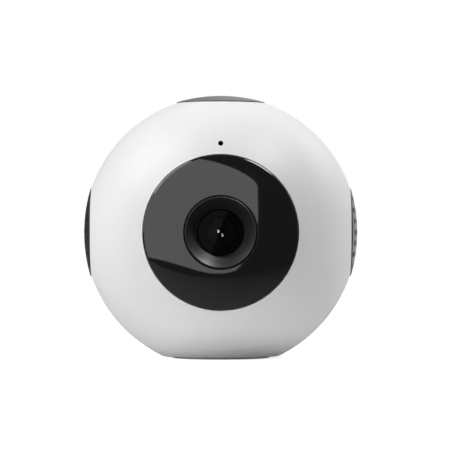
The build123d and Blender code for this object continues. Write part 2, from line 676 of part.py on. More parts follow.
def lens_bezel():
    """Funnel ring with a rounded lip and a tube behind the window."""
    cone_top = BEZEL_R - BEZEL_LIP_WIDTH
    cone_low = BEZEL_LIP_DEPTH - BEZEL_FUNNEL_DEPTH
    body = turned(
        (BEZEL_THROAT_R, cone_low),
        (cone_top, BEZEL_LIP_DEPTH),
        (BEZEL_R, BEZEL_LIP_DEPTH),
        (BEZEL_R, BEZEL_FLANGE_DEPTH),
        (BEZEL_FLANGE_R, BEZEL_FLANGE_DEPTH),
        (BEZEL_FLANGE_R, BEZEL_REAR),
        (BEZEL_TUBE_R, BEZEL_REAR),
        (BEZEL_TUBE_R, BEZEL_THROAT_REAR),
        (BEZEL_THROAT_R, BEZEL_THROAT_REAR),
    )
    lip = body.edges().filter_by(GeomType.CIRCLE).group_by(Axis.Z)[-1]
    return FRONT * chamfer(lip, BEZEL_LIP_CHAMFER)


def light_shield():
    """Foam ring that keeps the infrared light out of the lens."""
    return FRONT * ring(SHIELD_R, SHIELD_BORE_R, LED_BOARD_FRONT, BEZEL_REAR)


def led_places():
    """Places of the infrared lights round the lens."""
    return [Rot(0, 0, 360 / LED_COUNT * i) * Pos(LED_RADIUS, 0, 0) for i in range(LED_COUNT)]


def led_post_places():
    """Places of the posts under the light board, midway between lights."""
    return [polar(LED_POST_RADIUS, a) for a in cap_points(180 / LED_COUNT)]


def led_board():
    """Ring-shaped board on the posts of the inner frame."""
    board = ring(LED_BOARD_R, LED_BOARD_BORE_R, LED_BOARD_DEPTH, LED_BOARD_FRONT)
    return FRONT * (board - [disc(SCREW_HOLE_R, 0, BALL_R, x, y) for x, y in led_post_places()])


def infrared_leds():
    """Square infrared lights, each with a shallow round lens."""
    top = LED_BOARD_FRONT + LED_HEIGHT / 2
    base = block(-LED_DEPTH / 2, LED_DEPTH / 2, -LED_WIDTH / 2, LED_WIDTH / 2, LED_BOARD_FRONT, top)
    led = base + disc(LED_DEPTH / 2 - 0.1, top, LED_BOARD_FRONT + LED_HEIGHT)
    return FRONT * Compound([place * led for place in led_places()])


def light_sensor():
    """Ambient light sensor above the lens."""
    half = LIGHT_SENSOR_WIDTH / 2
    return FRONT * block(-half, half, LED_RADIUS - half, LED_RADIUS + half,
                         LED_BOARD_FRONT, LED_BOARD_FRONT + LIGHT_SENSOR_HEIGHT)


# Lens


def lens_barrel():
    """Threaded barrel with a wider head and a stepped bore."""
    barrel = disc(BARREL_THREAD_R, BARREL_REAR, BARREL_SHOULDER)
    barrel = barrel + disc(BARREL_HEAD_R, BARREL_SHOULDER, BARREL_FRONT)
    bore = disc(BARREL_REAR_BORE_R, BARREL_REAR - 1, STOP_FRONT) + disc(
        BARREL_THROAT_R, BARREL_REAR, BARREL_FRONT)
    return FRONT * (barrel - bore - disc(BARREL_MOUTH_R, GLASS_SEAT, BARREL_FRONT + 1))


def front_lens():
    """Front glass with a domed face, seated in the barrel's mouth."""
    edge_r = BARREL_MOUTH_R - GLASS_GAP
    edge = GLASS_SEAT + FRONT_LENS_EDGE
    centre = edge - sqrt(FRONT_LENS_SURFACE_R**2 - edge_r**2)
    return FRONT * (dome(FRONT_LENS_SURFACE_R, centre) & disc(edge_r, GLASS_SEAT, BARREL_FRONT))


def lens_retainer():
    """Ring with a shallow funnel face that holds the front glass down."""
    low = BARREL_FRONT - RETAINER_LENGTH
    rim = BARREL_FRONT - RETAINER_RIM_DROP
    return FRONT * turned(
        (RETAINER_OPENING_R, low),
        (RETAINER_OPENING_R, rim - RETAINER_FACE_FALL),
        (BARREL_MOUTH_R - GLASS_GAP, rim),
        (BARREL_MOUTH_R - GLASS_GAP, low),
    )


def aperture_stop():
    """Cup with the lens opening, which also spaces the rear glass."""
    radius = BARREL_REAR_BORE_R - GLASS_GAP
    cup = ring(radius, radius - STOP_SKIRT_WALL, STOP_FRONT - STOP_LENGTH, STOP_FRONT - STOP_WALL)
    return FRONT * (cup + ring(radius, STOP_OPENING_R, STOP_FRONT - STOP_WALL, STOP_FRONT))


def rear_lens():
    """Rear glass, flat against the stop's skirt and domed towards the sensor."""
    radius = BARREL_REAR_BORE_R - GLASS_GAP
    centre = REAR_LENS_EDGE - sqrt(REAR_LENS_SURFACE_R**2 - radius**2)
    glass = dome(REAR_LENS_SURFACE_R, centre) & disc(radius, 0, REAR_LENS_SURFACE_R)
    return FRONT * Pos(0, 0, STOP_FRONT - STOP_LENGTH) * Rot(180, 0, 0) * glass


def lens_lock_nut():
    """Thin nut that locks the focused barrel in the holder."""
    outline = RegularPolygon(LOCK_NUT_R, LOCK_NUT_SIDES)
    nut = Pos(0, 0, HOLDER_TUBE_FRONT) * extrude(outline, LOCK_NUT_LENGTH)
    return FRONT * (nut - disc(BARREL_THREAD_R + BARREL_THREAD_GAP, 0, BALL_R))


def lens_holder():
    """Box over the sensor with a tube for the barrel, two ears and two lugs."""
    width, roof = HOLDER_HALF_WIDTH, HOLDER_ROOF_DEPTH
    box = block(-width, width, -HOLDER_BELOW, HOLDER_ABOVE, SENSOR_BOARD_DEPTH, roof)
    cavity = block(-width + HOLDER_WALL, width - HOLDER_WALL, -HOLDER_BELOW + HOLDER_WALL,
                   HOLDER_ABOVE - HOLDER_WALL, SENSOR_BOARD_DEPTH - 1, roof - HOLDER_ROOF_WALL)
    box = box - cavity + disc(HOLDER_TUBE_R, roof - HOLDER_ROOF_WALL, HOLDER_TUBE_FRONT)
    for side in (-1, 1):
        ear_x = side * HOLDER_EAR_X
        low = roof - HOLDER_ROOF_WALL
        box = box + disc(HOLDER_EAR_R, low, roof, ear_x, HOLDER_EAR_Z)
        box = box + block(min(ear_x, side * width), max(ear_x, side * width),
                          HOLDER_EAR_Z - HOLDER_EAR_R, HOLDER_EAR_Z + HOLDER_EAR_R, low, roof)
        lug_top = SENSOR_BOARD_DEPTH + HOLDER_LUG_LENGTH
        box = box + disc(HOLDER_EAR_R, SENSOR_BOARD_DEPTH, lug_top, ear_x, HOLDER_LUG_Z)
        box = box - disc(SCREW_HOLE_R, low - 1, roof + 1, ear_x, HOLDER_EAR_Z)
        box = box - disc(SCREW_HOLE_R, 0, lug_top - BOARD_WALL / 2, ear_x, HOLDER_LUG_Z)
    return FRONT * (box - disc(BARREL_THREAD_R + BARREL_THREAD_GAP, roof - 2 * HOLDER_ROOF_WALL, BALL_R))


# Infrared-cut filter switch


def filter_tray():
    """Floor of the filter switch with guide rails, rotor pivot and coil saddle."""
    width = HOLDER_HALF_WIDTH - HOLDER_WALL - TRAY_GAP
    low = -HOLDER_BELOW + HOLDER_WALL + TRAY_GAP
    high = HOLDER_ABOVE - HOLDER_WALL - TRAY_GAP
    tray = block(-width, width, low, high, TRAY_DEPTH, TRAY_TOP) - disc(TRAY_LIGHT_R, 0, BALL_R)
    rail_inner = SLIDER_HALF_HEIGHT + SLIDER_GAP
    rail_outer = rail_inner + RAIL_WIDTH
    rail_top = TRAY_TOP + RAIL_HEIGHT
    rail_start = SLIDER_TRAVEL / 2 + TAB_HALF_WIDTH + SLIDER_END
    tray = tray + block(-width, width, -rail_outer, -rail_inner, TRAY_TOP, rail_top)
    tray = tray + block(rail_start, width, rail_inner, rail_outer, TRAY_TOP, rail_top)
    tray = tray + block(-width, -rail_start, rail_inner, rail_outer, TRAY_TOP, rail_top)
    tray = tray + disc(ROTOR_PIVOT_R, TRAY_TOP, ARM_FLOOR + ARM_WALL + ROTOR_LENGTH, 0, ROTOR_Z)
    legs = HOLDER_WALL / 2
    for x in (-width + legs, width - legs):
        for z in (low + legs, high - legs):
            tray = tray + block(x - legs, x + legs, z - legs, z + legs, SENSOR_BOARD_DEPTH, TRAY_DEPTH)
    saddle = block(COIL_X - COIL_LENGTH / 2, COIL_X + COIL_LENGTH / 2, ROTOR_Z - COIL_R, ROTOR_Z + COIL_R,
                   TRAY_TOP, COIL_DEPTH)
    coil_space = Pos(COIL_X, ROTOR_Z, COIL_DEPTH) * Rot(0, 90, 0) * Cylinder(COIL_R, 2 * COIL_LENGTH)
    return FRONT * (tray + (saddle - coil_space))


def filter_slider():
    """Carrier with two windows and a slotted tab, at its daylight end."""
    half = SLIDER_HALF_LENGTH
    plate = block(-half, half, -SLIDER_HALF_HEIGHT, SLIDER_HALF_HEIGHT, SLIDER_FLOOR, SLIDER_TOP)
    opening_w = FILTER_WIDTH / 2 - FILTER_SEAT
    opening_h = FILTER_HEIGHT / 2 - FILTER_SEAT
    for x in (-FILTER_PITCH / 2, FILTER_PITCH / 2):
        plate = plate - block(x - opening_w, x + opening_w, -opening_h, opening_h, 0, BALL_R)
    slot_low = PIN_LOW_Z - PIN_R - PIN_GAP
    slot_high = PIN_HIGH_Z + PIN_R + PIN_GAP
    plate = plate + block(-TAB_HALF_WIDTH, TAB_HALF_WIDTH, SLIDER_HALF_HEIGHT - 1, slot_high + TAB_END,
                          SLIDER_FLOOR, SLIDER_TOP)
    slot = block(-PIN_R - PIN_GAP, PIN_R + PIN_GAP, slot_low, slot_high, 0, BALL_R)
    return FRONT * Pos(SLIDER_START, 0, 0) * (plate - slot)


def filter_glass(side):
    """One of the two glasses on the carrier."""
    x = SLIDER_START + side * FILTER_PITCH / 2
    return FRONT * block(x - FILTER_WIDTH / 2, x + FILTER_WIDTH / 2, -FILTER_HEIGHT / 2,
                         FILTER_HEIGHT / 2, SLIDER_TOP, SLIDER_TOP + FILTER_WALL)


def filter_rotor():
    """Magnet on the pivot with an arm whose pin drives the carrier's slot."""
    arm_top = ARM_FLOOR + ARM_WALL
    rotor = disc(ROTOR_R, ARM_FLOOR, arm_top + ROTOR_LENGTH)
    arm = block(-ARM_WIDTH / 2, ARM_WIDTH / 2, -ARM_LENGTH, 0, ARM_FLOOR, arm_top)
    arm = arm + disc(ARM_WIDTH / 2, ARM_FLOOR, arm_top, 0, -ARM_LENGTH)
    rotor = rotor + arm + disc(PIN_R, SLIDER_FLOOR, arm_top, 0, -ARM_LENGTH)
    rotor = rotor - disc(ROTOR_PIVOT_R + ROTOR_GAP, 0, BALL_R)
    return FRONT * Pos(0, ROTOR_Z, 0) * Rot(0, 0, -degrees(ARM_ANGLE)) * rotor


def filter_coil():
    """Winding on its core beside the magnet."""
    winding = Rot(0, 90, 0) * Cylinder(COIL_R, COIL_LENGTH)
    core_start = ROTOR_R + 2 * PIN_GAP - COIL_X
    core = Pos((core_start + COIL_LENGTH / 2) / 2, 0, 0) * Rot(0, 90, 0) * Cylinder(
        COIL_CORE_R, COIL_LENGTH / 2 - core_start)
    return FRONT * Pos(COIL_X, ROTOR_Z, COIL_DEPTH) * (winding + core)


# Sensor board and inner frame


def sensor_board():
    """Board behind the lens holder."""
    width = SENSOR_BOARD_HALF_WIDTH
    board = block(-width, width, -SENSOR_BOARD_BELOW, SENSOR_BOARD_ABOVE,
                  SENSOR_BOARD_DEPTH - BOARD_WALL, SENSOR_BOARD_DEPTH)
    holes = [disc(SCREW_HOLE_R, 0, BALL_R, side * HOLDER_EAR_X, HOLDER_LUG_Z) for side in (-1, 1)]
    return FRONT * (board - holes)


def image_sensor():
    """Sensor package on the optical axis."""
    return FRONT * block(-SENSOR_WIDTH / 2, SENSOR_WIDTH / 2, -SENSOR_HEIGHT / 2, SENSOR_HEIGHT / 2,
                         SENSOR_BOARD_DEPTH, SENSOR_BOARD_DEPTH + SENSOR_WALL)


def board_post_places():
    """Places of the posts under the main board."""
    return [(side * x, y) for x, y in ((POST_FRONT_X, POST_FRONT_Y), (POST_REAR_X, POST_REAR_Y))
            for side in (-1, 1)]


def inner_frame():
    """One moulding: lens plate with posts, board shelf, button shelf and gussets."""
    rear, front = HOLDER_ROOF_DEPTH, FRAME_FRONT
    plate = disc(FRAME_PLATE_R, rear, front)
    plate = plate + [disc(LED_POST_R, rear, LED_BOARD_DEPTH, x, y) for x, y in led_post_places()]
    ears = [(side * HOLDER_EAR_X, HOLDER_EAR_Z) for side in (-1, 1)]
    boss_front = rear - HOLDER_ROOF_WALL + SCREW_LENGTH
    plate = plate + [disc(HOLDER_EAR_R, rear, boss_front, x, y) for x, y in ears]
    plate = plate - disc(HOLDER_TUBE_R + FRAME_LENS_GAP, 0, BALL_R)
    holes = [disc(SCREW_HOLE_R, 0, boss_front, x, y) for x, y in ears]
    holes += [disc(SCREW_HOLE_R, 0, BALL_R, x, y) for x, y in frame_screw_places()]
    holes += [disc(SCREW_HOLE_R, LED_BOARD_FRONT - SCREW_LENGTH, BALL_R, x, y)
              for x, y in led_post_places()]
    frame = FRONT * (plate - holes)
    side = 2 * BALL_R
    shelf = disc(SHELF_R, SHELF_TOP - SHELF_WALL, SHELF_TOP) & block(-side, side, -rear, side, -side, side)
    frame = frame + shelf
    frame = frame + [disc(POST_R, SHELF_TOP, MAIN_BOARD_UNDER, x, y) for x, y in board_post_places()]
    frame = frame - [disc(SCREW_HOLE_R, MAIN_BOARD_TOP - SCREW_LENGTH, MAIN_BOARD_TOP, x, y)
                     for x, y in board_post_places()]
    width = BUTTON_SHELF_HALF_WIDTH
    low = BUTTON_SHELF_TOP - SHELF_WALL
    frame = frame + block(-width, width, -rear, BUTTON_SHELF_REAR, low, BUTTON_SHELF_TOP)
    outline = make_face(Polyline((-rear, low), (-rear + GUSSET_REACH, low), (-rear, low - GUSSET_REACH),
                                 close=True))
    for x in (-width, width - GUSSET_WALL):
        frame = frame + Pos(x, 0, 0) * extrude(Plane.YZ * outline, GUSSET_WALL)
    return frame


# Top button switch


def button_board():
    """Small board on the button shelf."""
    width = BUTTON_SHELF_HALF_WIDTH
    return block(-width, width, -BUTTON_BOARD_LENGTH / 2, BUTTON_BOARD_LENGTH / 2,
                 BUTTON_SHELF_TOP, BUTTON_BOARD_TOP)


def button_switch():
    """Switch body with a well for its stem."""
    half = SWITCH_WIDTH / 2
    well = SWITCH_TOP - SWITCH_STEM_SUNK - BUTTON_TRAVEL - SWITCH_FLOOR_GAP
    body = block(-half, half, -half, half, BUTTON_BOARD_TOP, SWITCH_TOP)
    return body - disc(SWITCH_STEM_R + SWITCH_GAP, well, SWITCH_TOP + 1)


def button_switch_stem():
    """Stem that moves with the button."""
    return disc(SWITCH_STEM_R, SWITCH_TOP - SWITCH_STEM_SUNK, SWITCH_STEM_TOP)


# Microphone


def microphone_boot():
    """Rubber boot pressed between the frame plate and the shell's pocket."""
    boot = ring(MIC_BOOT_R, MIC_HOLE_R, FRAME_FRONT, MIC_POCKET_DEPTH, 0, MIC_HEIGHT)
    return FRONT * (boot - disc(MIC_CAPSULE_R, FRAME_FRONT - 1, FRAME_FRONT + MIC_CAPSULE_LENGTH,
                                0, MIC_HEIGHT))


def microphone():
    """Round microphone capsule in the boot."""
    return FRONT * disc(MIC_CAPSULE_R - GLASS_GAP, FRAME_FRONT, FRAME_FRONT + MIC_CAPSULE_LENGTH,
                        0, MIC_HEIGHT)


# Main board


def main_board():
    """Board on four posts, rounded to the shell at the rear."""
    width = MAIN_BOARD_HALF_WIDTH
    board = block(-width, width, MAIN_BOARD_FRONT, MAIN_BOARD_REAR, MAIN_BOARD_UNDER, MAIN_BOARD_TOP)
    board = board & disc(MAIN_BOARD_R, MAIN_BOARD_UNDER - 1, MAIN_BOARD_TOP + 1)
    return board - [disc(SCREW_HOLE_R, -BALL_R, BALL_R, x, y) for x, y in board_post_places()]


def on_board(x, y, width, length, low, high):
    """Box centred on a place of the main board."""
    return block(x - width / 2, x + width / 2, y - length / 2, y + length / 2, low, high)


def processor():
    """Processor package."""
    return on_board(PROCESSOR_X, BOARD_PARTS_Y, PROCESSOR_WIDTH, PROCESSOR_WIDTH, MAIN_BOARD_TOP,
                    MAIN_BOARD_TOP + PROCESSOR_HEIGHT)


def thermal_pad():
    """Soft pad between the processor and the heat sink."""
    low = MAIN_BOARD_TOP + PROCESSOR_HEIGHT
    return on_board(PROCESSOR_X, BOARD_PARTS_Y, PROCESSOR_WIDTH, PROCESSOR_WIDTH, low, low + PAD_WALL)


def heat_sink():
    """Finned heat sink."""
    low = MAIN_BOARD_TOP + PROCESSOR_HEIGHT + PAD_WALL
    sink = on_board(PROCESSOR_X, BOARD_PARTS_Y, SINK_WIDTH, SINK_WIDTH, low, low + SINK_BASE)
    step = (SINK_WIDTH - SINK_FIN_WALL) / (SINK_FINS - 1)
    first = PROCESSOR_X - SINK_WIDTH / 2 + SINK_FIN_WALL / 2
    fins = [on_board(first + step * i, BOARD_PARTS_Y, SINK_FIN_WALL, SINK_WIDTH, low, low + SINK_HEIGHT)
            for i in range(SINK_FINS)]
    return sink + fins


def wireless_module():
    """Radio module: a small board under a metal can, with a bare aerial end."""
    low = MAIN_BOARD_TOP
    top = low + WIRELESS_BOARD_WALL
    board = on_board(WIRELESS_X, BOARD_PARTS_Y, WIRELESS_WIDTH, WIRELESS_LENGTH, low, top)
    can = on_board(WIRELESS_X, BOARD_PARTS_Y + WIRELESS_AERIAL_END / 2 - WIRELESS_EDGE / 2,
                   WIRELESS_WIDTH - 2 * WIRELESS_EDGE,
                   WIRELESS_LENGTH - WIRELESS_AERIAL_END - WIRELESS_EDGE, top, top + WIRELESS_CAN_HEIGHT)
    return board + can


def antenna():
    """Foil antenna bonded under the button shelf."""
    high = BUTTON_SHELF_TOP - SHELF_WALL
    return block(-ANTENNA_WIDTH / 2, ANTENNA_WIDTH / 2, BUTTON_SHELF_REAR - ANTENNA_LENGTH,
                 BUTTON_SHELF_REAR, high - ANTENNA_WALL, high)


def usb_socket():
    """Power inlet: a slot-shaped metal shell round a tongue."""
    front = USB_REAR - USB_LENGTH
    shell_part = stadium(USB_WIDTH, USB_HEIGHT, front, USB_REAR)
    hollow = stadium(USB_WIDTH - 2 * USB_WALL, USB_HEIGHT - 2 * USB_WALL, front + USB_BACK, USB_REAR + 1)
    tongue = block(-USB_TONGUE_WIDTH / 2, USB_TONGUE_WIDTH / 2, -USB_TONGUE_WALL / 2,
                   USB_TONGUE_WALL / 2, front, front + USB_BACK + USB_TONGUE_LENGTH)
    return REAR * (shell_part - hollow + tongue)


def card_socket():
    """Card socket under the board, open to the rear."""
    high = MAIN_BOARD_UNDER
    half = CARD_SOCKET_WIDTH / 2
    front = CARD_SOCKET_REAR - CARD_SOCKET_LENGTH
    socket = block(-half, half, front, CARD_SOCKET_REAR, high - CARD_SOCKET_HEIGHT, high)
    slot_half = CARD_SLOT_WIDTH / 2
    return socket - block(-slot_half, slot_half, front + 1, CARD_SOCKET_REAR + 1,
                          CARD_SLOT_Z - CARD_SLOT_HEIGHT / 2, CARD_SLOT_Z + CARD_SLOT_HEIGHT / 2)


def reset_switch():
    """Side-pushed switch body with a well for its plunger."""
    half = RESET_BODY_WIDTH / 2
    front = RESET_BODY_REAR - RESET_BODY_LENGTH
    body = block(RESET_X - half, RESET_X + half, front, RESET_BODY_REAR, MAIN_BOARD_TOP,
                 MAIN_BOARD_TOP + RESET_BODY_HEIGHT)
    well = RESET_BODY_REAR - RESET_PLUNGER_SUNK - RESET_TRAVEL - SWITCH_FLOOR_GAP
    return body - REAR * disc(RESET_PLUNGER_R + SWITCH_GAP, well, BALL_R, -RESET_X, 0)


def reset_plunger():
    """Plunger in line with the reset pinhole."""
    return REAR * disc(RESET_PLUNGER_R, RESET_BODY_REAR - RESET_PLUNGER_SUNK,
                       RESET_BODY_REAR + RESET_PLUNGER_PROUD, -RESET_X, 0)


# Speaker


def speaker_gasket():
    """Gasket between the speaker and the ledge of the right grille."""
    return RIGHT * ring(SPEAKER_R, CAP_LEDGE_BORE_R, SPEAKER_FRONT, CAP_LEDGE_UNDER)


def speaker_basket():
    """Shallow metal basket."""
    basket = disc(SPEAKER_R, MAGNET_TOP, SPEAKER_FRONT)
    hollow = disc(SPEAKER_CONE_R + SPEAKER_CONE_WALL, SPEAKER_BACK, SPEAKER_FRONT + 1)
    return RIGHT * (basket - hollow)


def speaker_cone():
    """Thin cone with a domed middle."""
    cone_top = SPEAKER_FRONT - SPEAKER_CONE_WALL
    cone = disc(SPEAKER_CONE_R, cone_top - SPEAKER_CONE_WALL, cone_top)
    cap_r = (SPEAKER_DOME_R**2 + SPEAKER_DOME_RISE**2) / 2 / SPEAKER_DOME_RISE
    cap = dome(cap_r, cone_top + SPEAKER_DOME_RISE - cap_r)
    return RIGHT * (cone + (cap & disc(SPEAKER_DOME_R, cone_top, cone_top + SPEAKER_DOME_RISE)))


def speaker_magnet():
    """Magnet on the back of the basket."""
    return RIGHT * disc(SPEAKER_MAGNET_R, MAGNET_TOP - SPEAKER_MAGNET_LENGTH, MAGNET_TOP)


# Battery


def battery():
    """Flat pouch cell bonded under the shelf."""
    cell = block(-BATTERY_WIDTH / 2, BATTERY_WIDTH / 2, -BATTERY_LENGTH / 2, BATTERY_LENGTH / 2,
                 BATTERY_UNDER, BATTERY_TOP)
    return fillet(cell.edges().filter_by(Axis.X), BATTERY_FILLET)


def battery_pad():
    """Foam between the battery and the hub of the base plate."""
    return block(-BATTERY_PAD_WIDTH / 2, BATTERY_PAD_WIDTH / 2, -BATTERY_PAD_LENGTH / 2,
                 BATTERY_PAD_LENGTH / 2, HUB_TOP, BATTERY_UNDER)


# Base


def base_plate():
    """Round plate with a hub for the tripod insert and a recess for the foot."""
    plate = disc(PLATE_R, -BASE_DROP, PLATE_TOP) + disc(HUB_R, -BASE_DROP, HUB_TOP)
    plate = plate - disc(INSERT_R, -BASE_DROP - 1, -BASE_DROP + INSERT_LENGTH)
    plate = plate - ring(FOOT_R + FOOT_GAP, FOOT_BORE_R - FOOT_GAP, -BASE_DROP - 1, FOOT_TOP)
    for x, y in base_screw_places():
        plate = plate - disc(SCREW_HOLE_R, -BASE_DROP, BALL_R, x, y)
        plate = plate - disc(SCREW_HEAD_R + SCREW_GAP, -BASE_DROP, FOOT_TOP + SCREW_HEAD_HEIGHT, x, y)
    return plate


def tripod_insert():
    """Threaded metal insert, its bore at the thread's inner radius."""
    return ring(INSERT_R, INSERT_BORE_R, -BASE_DROP, -BASE_DROP + INSERT_LENGTH)


def rubber_foot():
    """Rubber ring in the recess of the base plate."""
    foot = ring(FOOT_R, FOOT_BORE_R, -CENTRE_HEIGHT, FOOT_TOP)
    rim = foot.edges().filter_by(GeomType.CIRCLE).group_by(Axis.Z)[0]
    return chamfer(rim, FOOT_CHAMFER)


# Screws and cable


def inner_screws():
    """Screws of the frame, the boards and the lens holder."""
    screws = [FRONT * screw(x, y, HOLDER_ROOF_DEPTH) for x, y in frame_screw_places()]
    for side in (-1, 1):
        screws.append(FRONT * screw(side * HOLDER_EAR_X, HOLDER_EAR_Z, HOLDER_ROOF_DEPTH - HOLDER_ROOF_WALL))
        screws.append(FRONT * screw(side * HOLDER_EAR_X, HOLDER_LUG_Z, SENSOR_BOARD_DEPTH - BOARD_WALL))
    for x, y in led_post_places():
        screws.append(FRONT * Pos(x, y, LED_BOARD_FRONT) * Rot(180, 0, 0) * screw(0, 0, 0))
    for x, y in board_post_places():
        screws.append(Pos(x, y, MAIN_BOARD_TOP) * Rot(180, 0, 0) * screw(0, 0, 0))
    return Compound(screws)


def base_screws():
    """Screws of the base plate."""
    return Compound([screw(x, y, FOOT_TOP + SCREW_HEAD_HEIGHT) for x, y in base_screw_places()])


def flex_ends():
    """Heights and depths where the flat cable leaves its two connectors."""
    start = (-(SENSOR_BOARD_DEPTH - BOARD_WALL - CONNECTOR_HEIGHT), FLEX_LOW)
    end_z = MAIN_BOARD_UNDER - CONNECTOR_HEIGHT / 2
    bend_y = start[0] + FLEX_REACH
    return start, (bend_y, FLEX_LOW), (bend_y, end_z), (bend_y + FLEX_REACH / 2, end_z)


def sensor_flex():
    """Flat cable in two bends."""
    strip = extrude(trace(FilletPolyline(*flex_ends(), radius=FLEX_BEND_R), FLEX_WALL), FLEX_WIDTH)
    return Pos(-FLEX_WIDTH / 2, 0, 0) * Plane.YZ.location * strip


def flex_connectors():
    """Connectors on the sensor board and under the main board."""
    start, _, _, end = flex_ends()
    half = CONNECTOR_WIDTH / 2
    on_sensor = block(-half, half, start[0] - CONNECTOR_HEIGHT, start[0],
                      FLEX_LOW - CONNECTOR_LENGTH / 2, FLEX_LOW + CONNECTOR_LENGTH / 2)
    on_main = block(-half, half, end[0], end[0] + CONNECTOR_LENGTH, MAIN_BOARD_UNDER - CONNECTOR_HEIGHT,
                    MAIN_BOARD_UNDER)
    return Compound([on_sensor, on_main])


front_shell, rear_shell = shell_halves()

PIECES = {
    "front_shell": front_shell,
    "rear_shell": rear_shell,
    "front_window": front_window(),
    "window_gasket": window_gasket(),
    "lens_bezel": lens_bezel(),
    "left_grille": LEFT * grille(),
    "right_grille": RIGHT * grille(),
    "left_dust_mesh": LEFT * dust_mesh(),
    "right_dust_mesh": RIGHT * dust_mesh(),
    "top_button": top_button(),
    "button_switch": button_switch(),
    "button_switch_stem": button_switch_stem(),
    "button_board": button_board(),
    "rear_panel": rear_panel(),
    "base_plate": base_plate(),
    "rubber_foot": rubber_foot(),
    "tripod_insert": tripod_insert(),
    "lens_barrel": lens_barrel(),
    "lens_retainer": lens_retainer(),
    "front_lens": front_lens(),
    "aperture_stop": aperture_stop(),
    "rear_lens": rear_lens(),
    "lens_lock_nut": lens_lock_nut(),
    "lens_holder": lens_holder(),
    "inner_frame": inner_frame(),
    "light_shield": light_shield(),
    "led_board": led_board(),
    "infrared_leds": infrared_leds(),
    "light_sensor": light_sensor(),
    "filter_tray": filter_tray(),
    "filter_slider": filter_slider(),
    "infrared_filter": filter_glass(1),
    "clear_filter": filter_glass(-1),
    "filter_rotor": filter_rotor(),
    "filter_coil": filter_coil(),
    "image_sensor": image_sensor(),
    "sensor_board": sensor_board(),
    "main_board": main_board(),
    "processor": processor(),
    "thermal_pad": thermal_pad(),
    "heat_sink": heat_sink(),
    "wireless_module": wireless_module(),
    "antenna": antenna(),
    "usb_socket": usb_socket(),
    "card_socket": card_socket(),
    "reset_switch": reset_switch(),
    "reset_plunger": reset_plunger(),
    "battery": battery(),
    "battery_pad": battery_pad(),
    "speaker_basket": speaker_basket(),
    "speaker_cone": speaker_cone(),
    "speaker_magnet": speaker_magnet(),
    "speaker_gasket": speaker_gasket(),
    "microphone": microphone(),
    "microphone_boot": microphone_boot(),
    "inner_screws": inner_screws(),
    "base_screws": base_screws(),
    "sensor_flex": sensor_flex(),
    "flex_connectors": flex_connectors(),
}

os.makedirs("parts", exist_ok=True)
for name, piece in PIECES.items():
    export_step(Pos(0, 0, CENTRE_HEIGHT) * piece, f"parts/{name}.step")
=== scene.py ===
import json
from math import cos, pi, radians, sin, sqrt

import bmesh
import bpy
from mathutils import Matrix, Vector
from mathutils.geometry import delaunay_2d_cdt


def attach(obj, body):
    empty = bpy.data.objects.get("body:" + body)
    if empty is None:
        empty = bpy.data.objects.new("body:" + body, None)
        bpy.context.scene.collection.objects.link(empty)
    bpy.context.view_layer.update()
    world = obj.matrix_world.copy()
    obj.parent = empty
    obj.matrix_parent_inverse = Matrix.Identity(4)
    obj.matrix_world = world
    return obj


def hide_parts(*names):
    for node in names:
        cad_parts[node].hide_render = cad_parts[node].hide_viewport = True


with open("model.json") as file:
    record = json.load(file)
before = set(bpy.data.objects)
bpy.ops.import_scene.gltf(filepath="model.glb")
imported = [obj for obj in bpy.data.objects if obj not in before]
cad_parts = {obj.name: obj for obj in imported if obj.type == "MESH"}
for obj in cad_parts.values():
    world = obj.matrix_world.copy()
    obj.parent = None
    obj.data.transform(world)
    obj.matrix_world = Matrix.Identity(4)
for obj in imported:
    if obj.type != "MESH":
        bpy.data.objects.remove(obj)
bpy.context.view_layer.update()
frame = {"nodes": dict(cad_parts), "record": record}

# Metres, but for the profiles of the pieces, which are in mm. The ball's centre is 27.5 mm over the
# floor and the lens looks along -Y.
CENTRE = Vector((0.0, 0.0, 0.0275))
scene = bpy.context.scene

# Camera: on a level with the lens, 0.616 m from the ball's centre
CAMERA_DISTANCE = 0.616
FOCAL_LENGTH = 222.0
SHIFT_X, SHIFT_Y = 0.0139, 0.0119
camera_data = bpy.data.cameras.new("camera")
camera = bpy.data.objects.new("camera", camera_data)
scene.collection.objects.link(camera)
camera.location = (0.0, -CAMERA_DISTANCE, CENTRE.z)
camera.rotation_euler = (radians(90), 0, 0)
camera_data.sensor_width = 36.0
camera_data.lens = FOCAL_LENGTH
camera_data.shift_x = SHIFT_X
camera_data.shift_y = SHIFT_Y
camera_data.clip_start = 0.01
scene.camera = camera


class Nodes:
    """Short way to build the nodes of a material or of the world."""

    def __init__(self, owner):
        owner.use_nodes = True
        self.owner = owner
        self.tree = owner.node_tree
        self.tree.nodes.clear()

    def add(self, kind, inputs=None, **settings):
        node = self.tree.nodes.new(kind)
        for key, value in settings.items():
            setattr(node, key, value)
        for key, value in (inputs or {}).items():
            if isinstance(value, bpy.types.NodeSocket):
                self.tree.links.new(value, node.inputs[key])
            else:
                node.inputs[key].default_value = value
        return node

    def ramp(self, value, low, high, start=0.0, stop=1.0):
        """Runs from start to stop while the value runs from low to high, and is level outside."""
        node = self.add("ShaderNodeMapRange", {
            "Value": value, "From Min": low, "From Max": high, "To Min": start, "To Max": stop})
        return node.outputs["Result"]

    def math(self, operation, *values):
        return self.add("ShaderNodeMath", dict(enumerate(values)), operation=operation).outputs[0]

    def mix(self, factor, one, two):
        return self.add("ShaderNodeMix", {"Factor": factor, 2: one, 3: two}).outputs[0]


# The part of the noise's range that carries its contrast
NOISE_LOW, NOISE_HIGH = 0.3, 0.7


def material_nodes(name):
    return Nodes(bpy.data.materials.new(name))


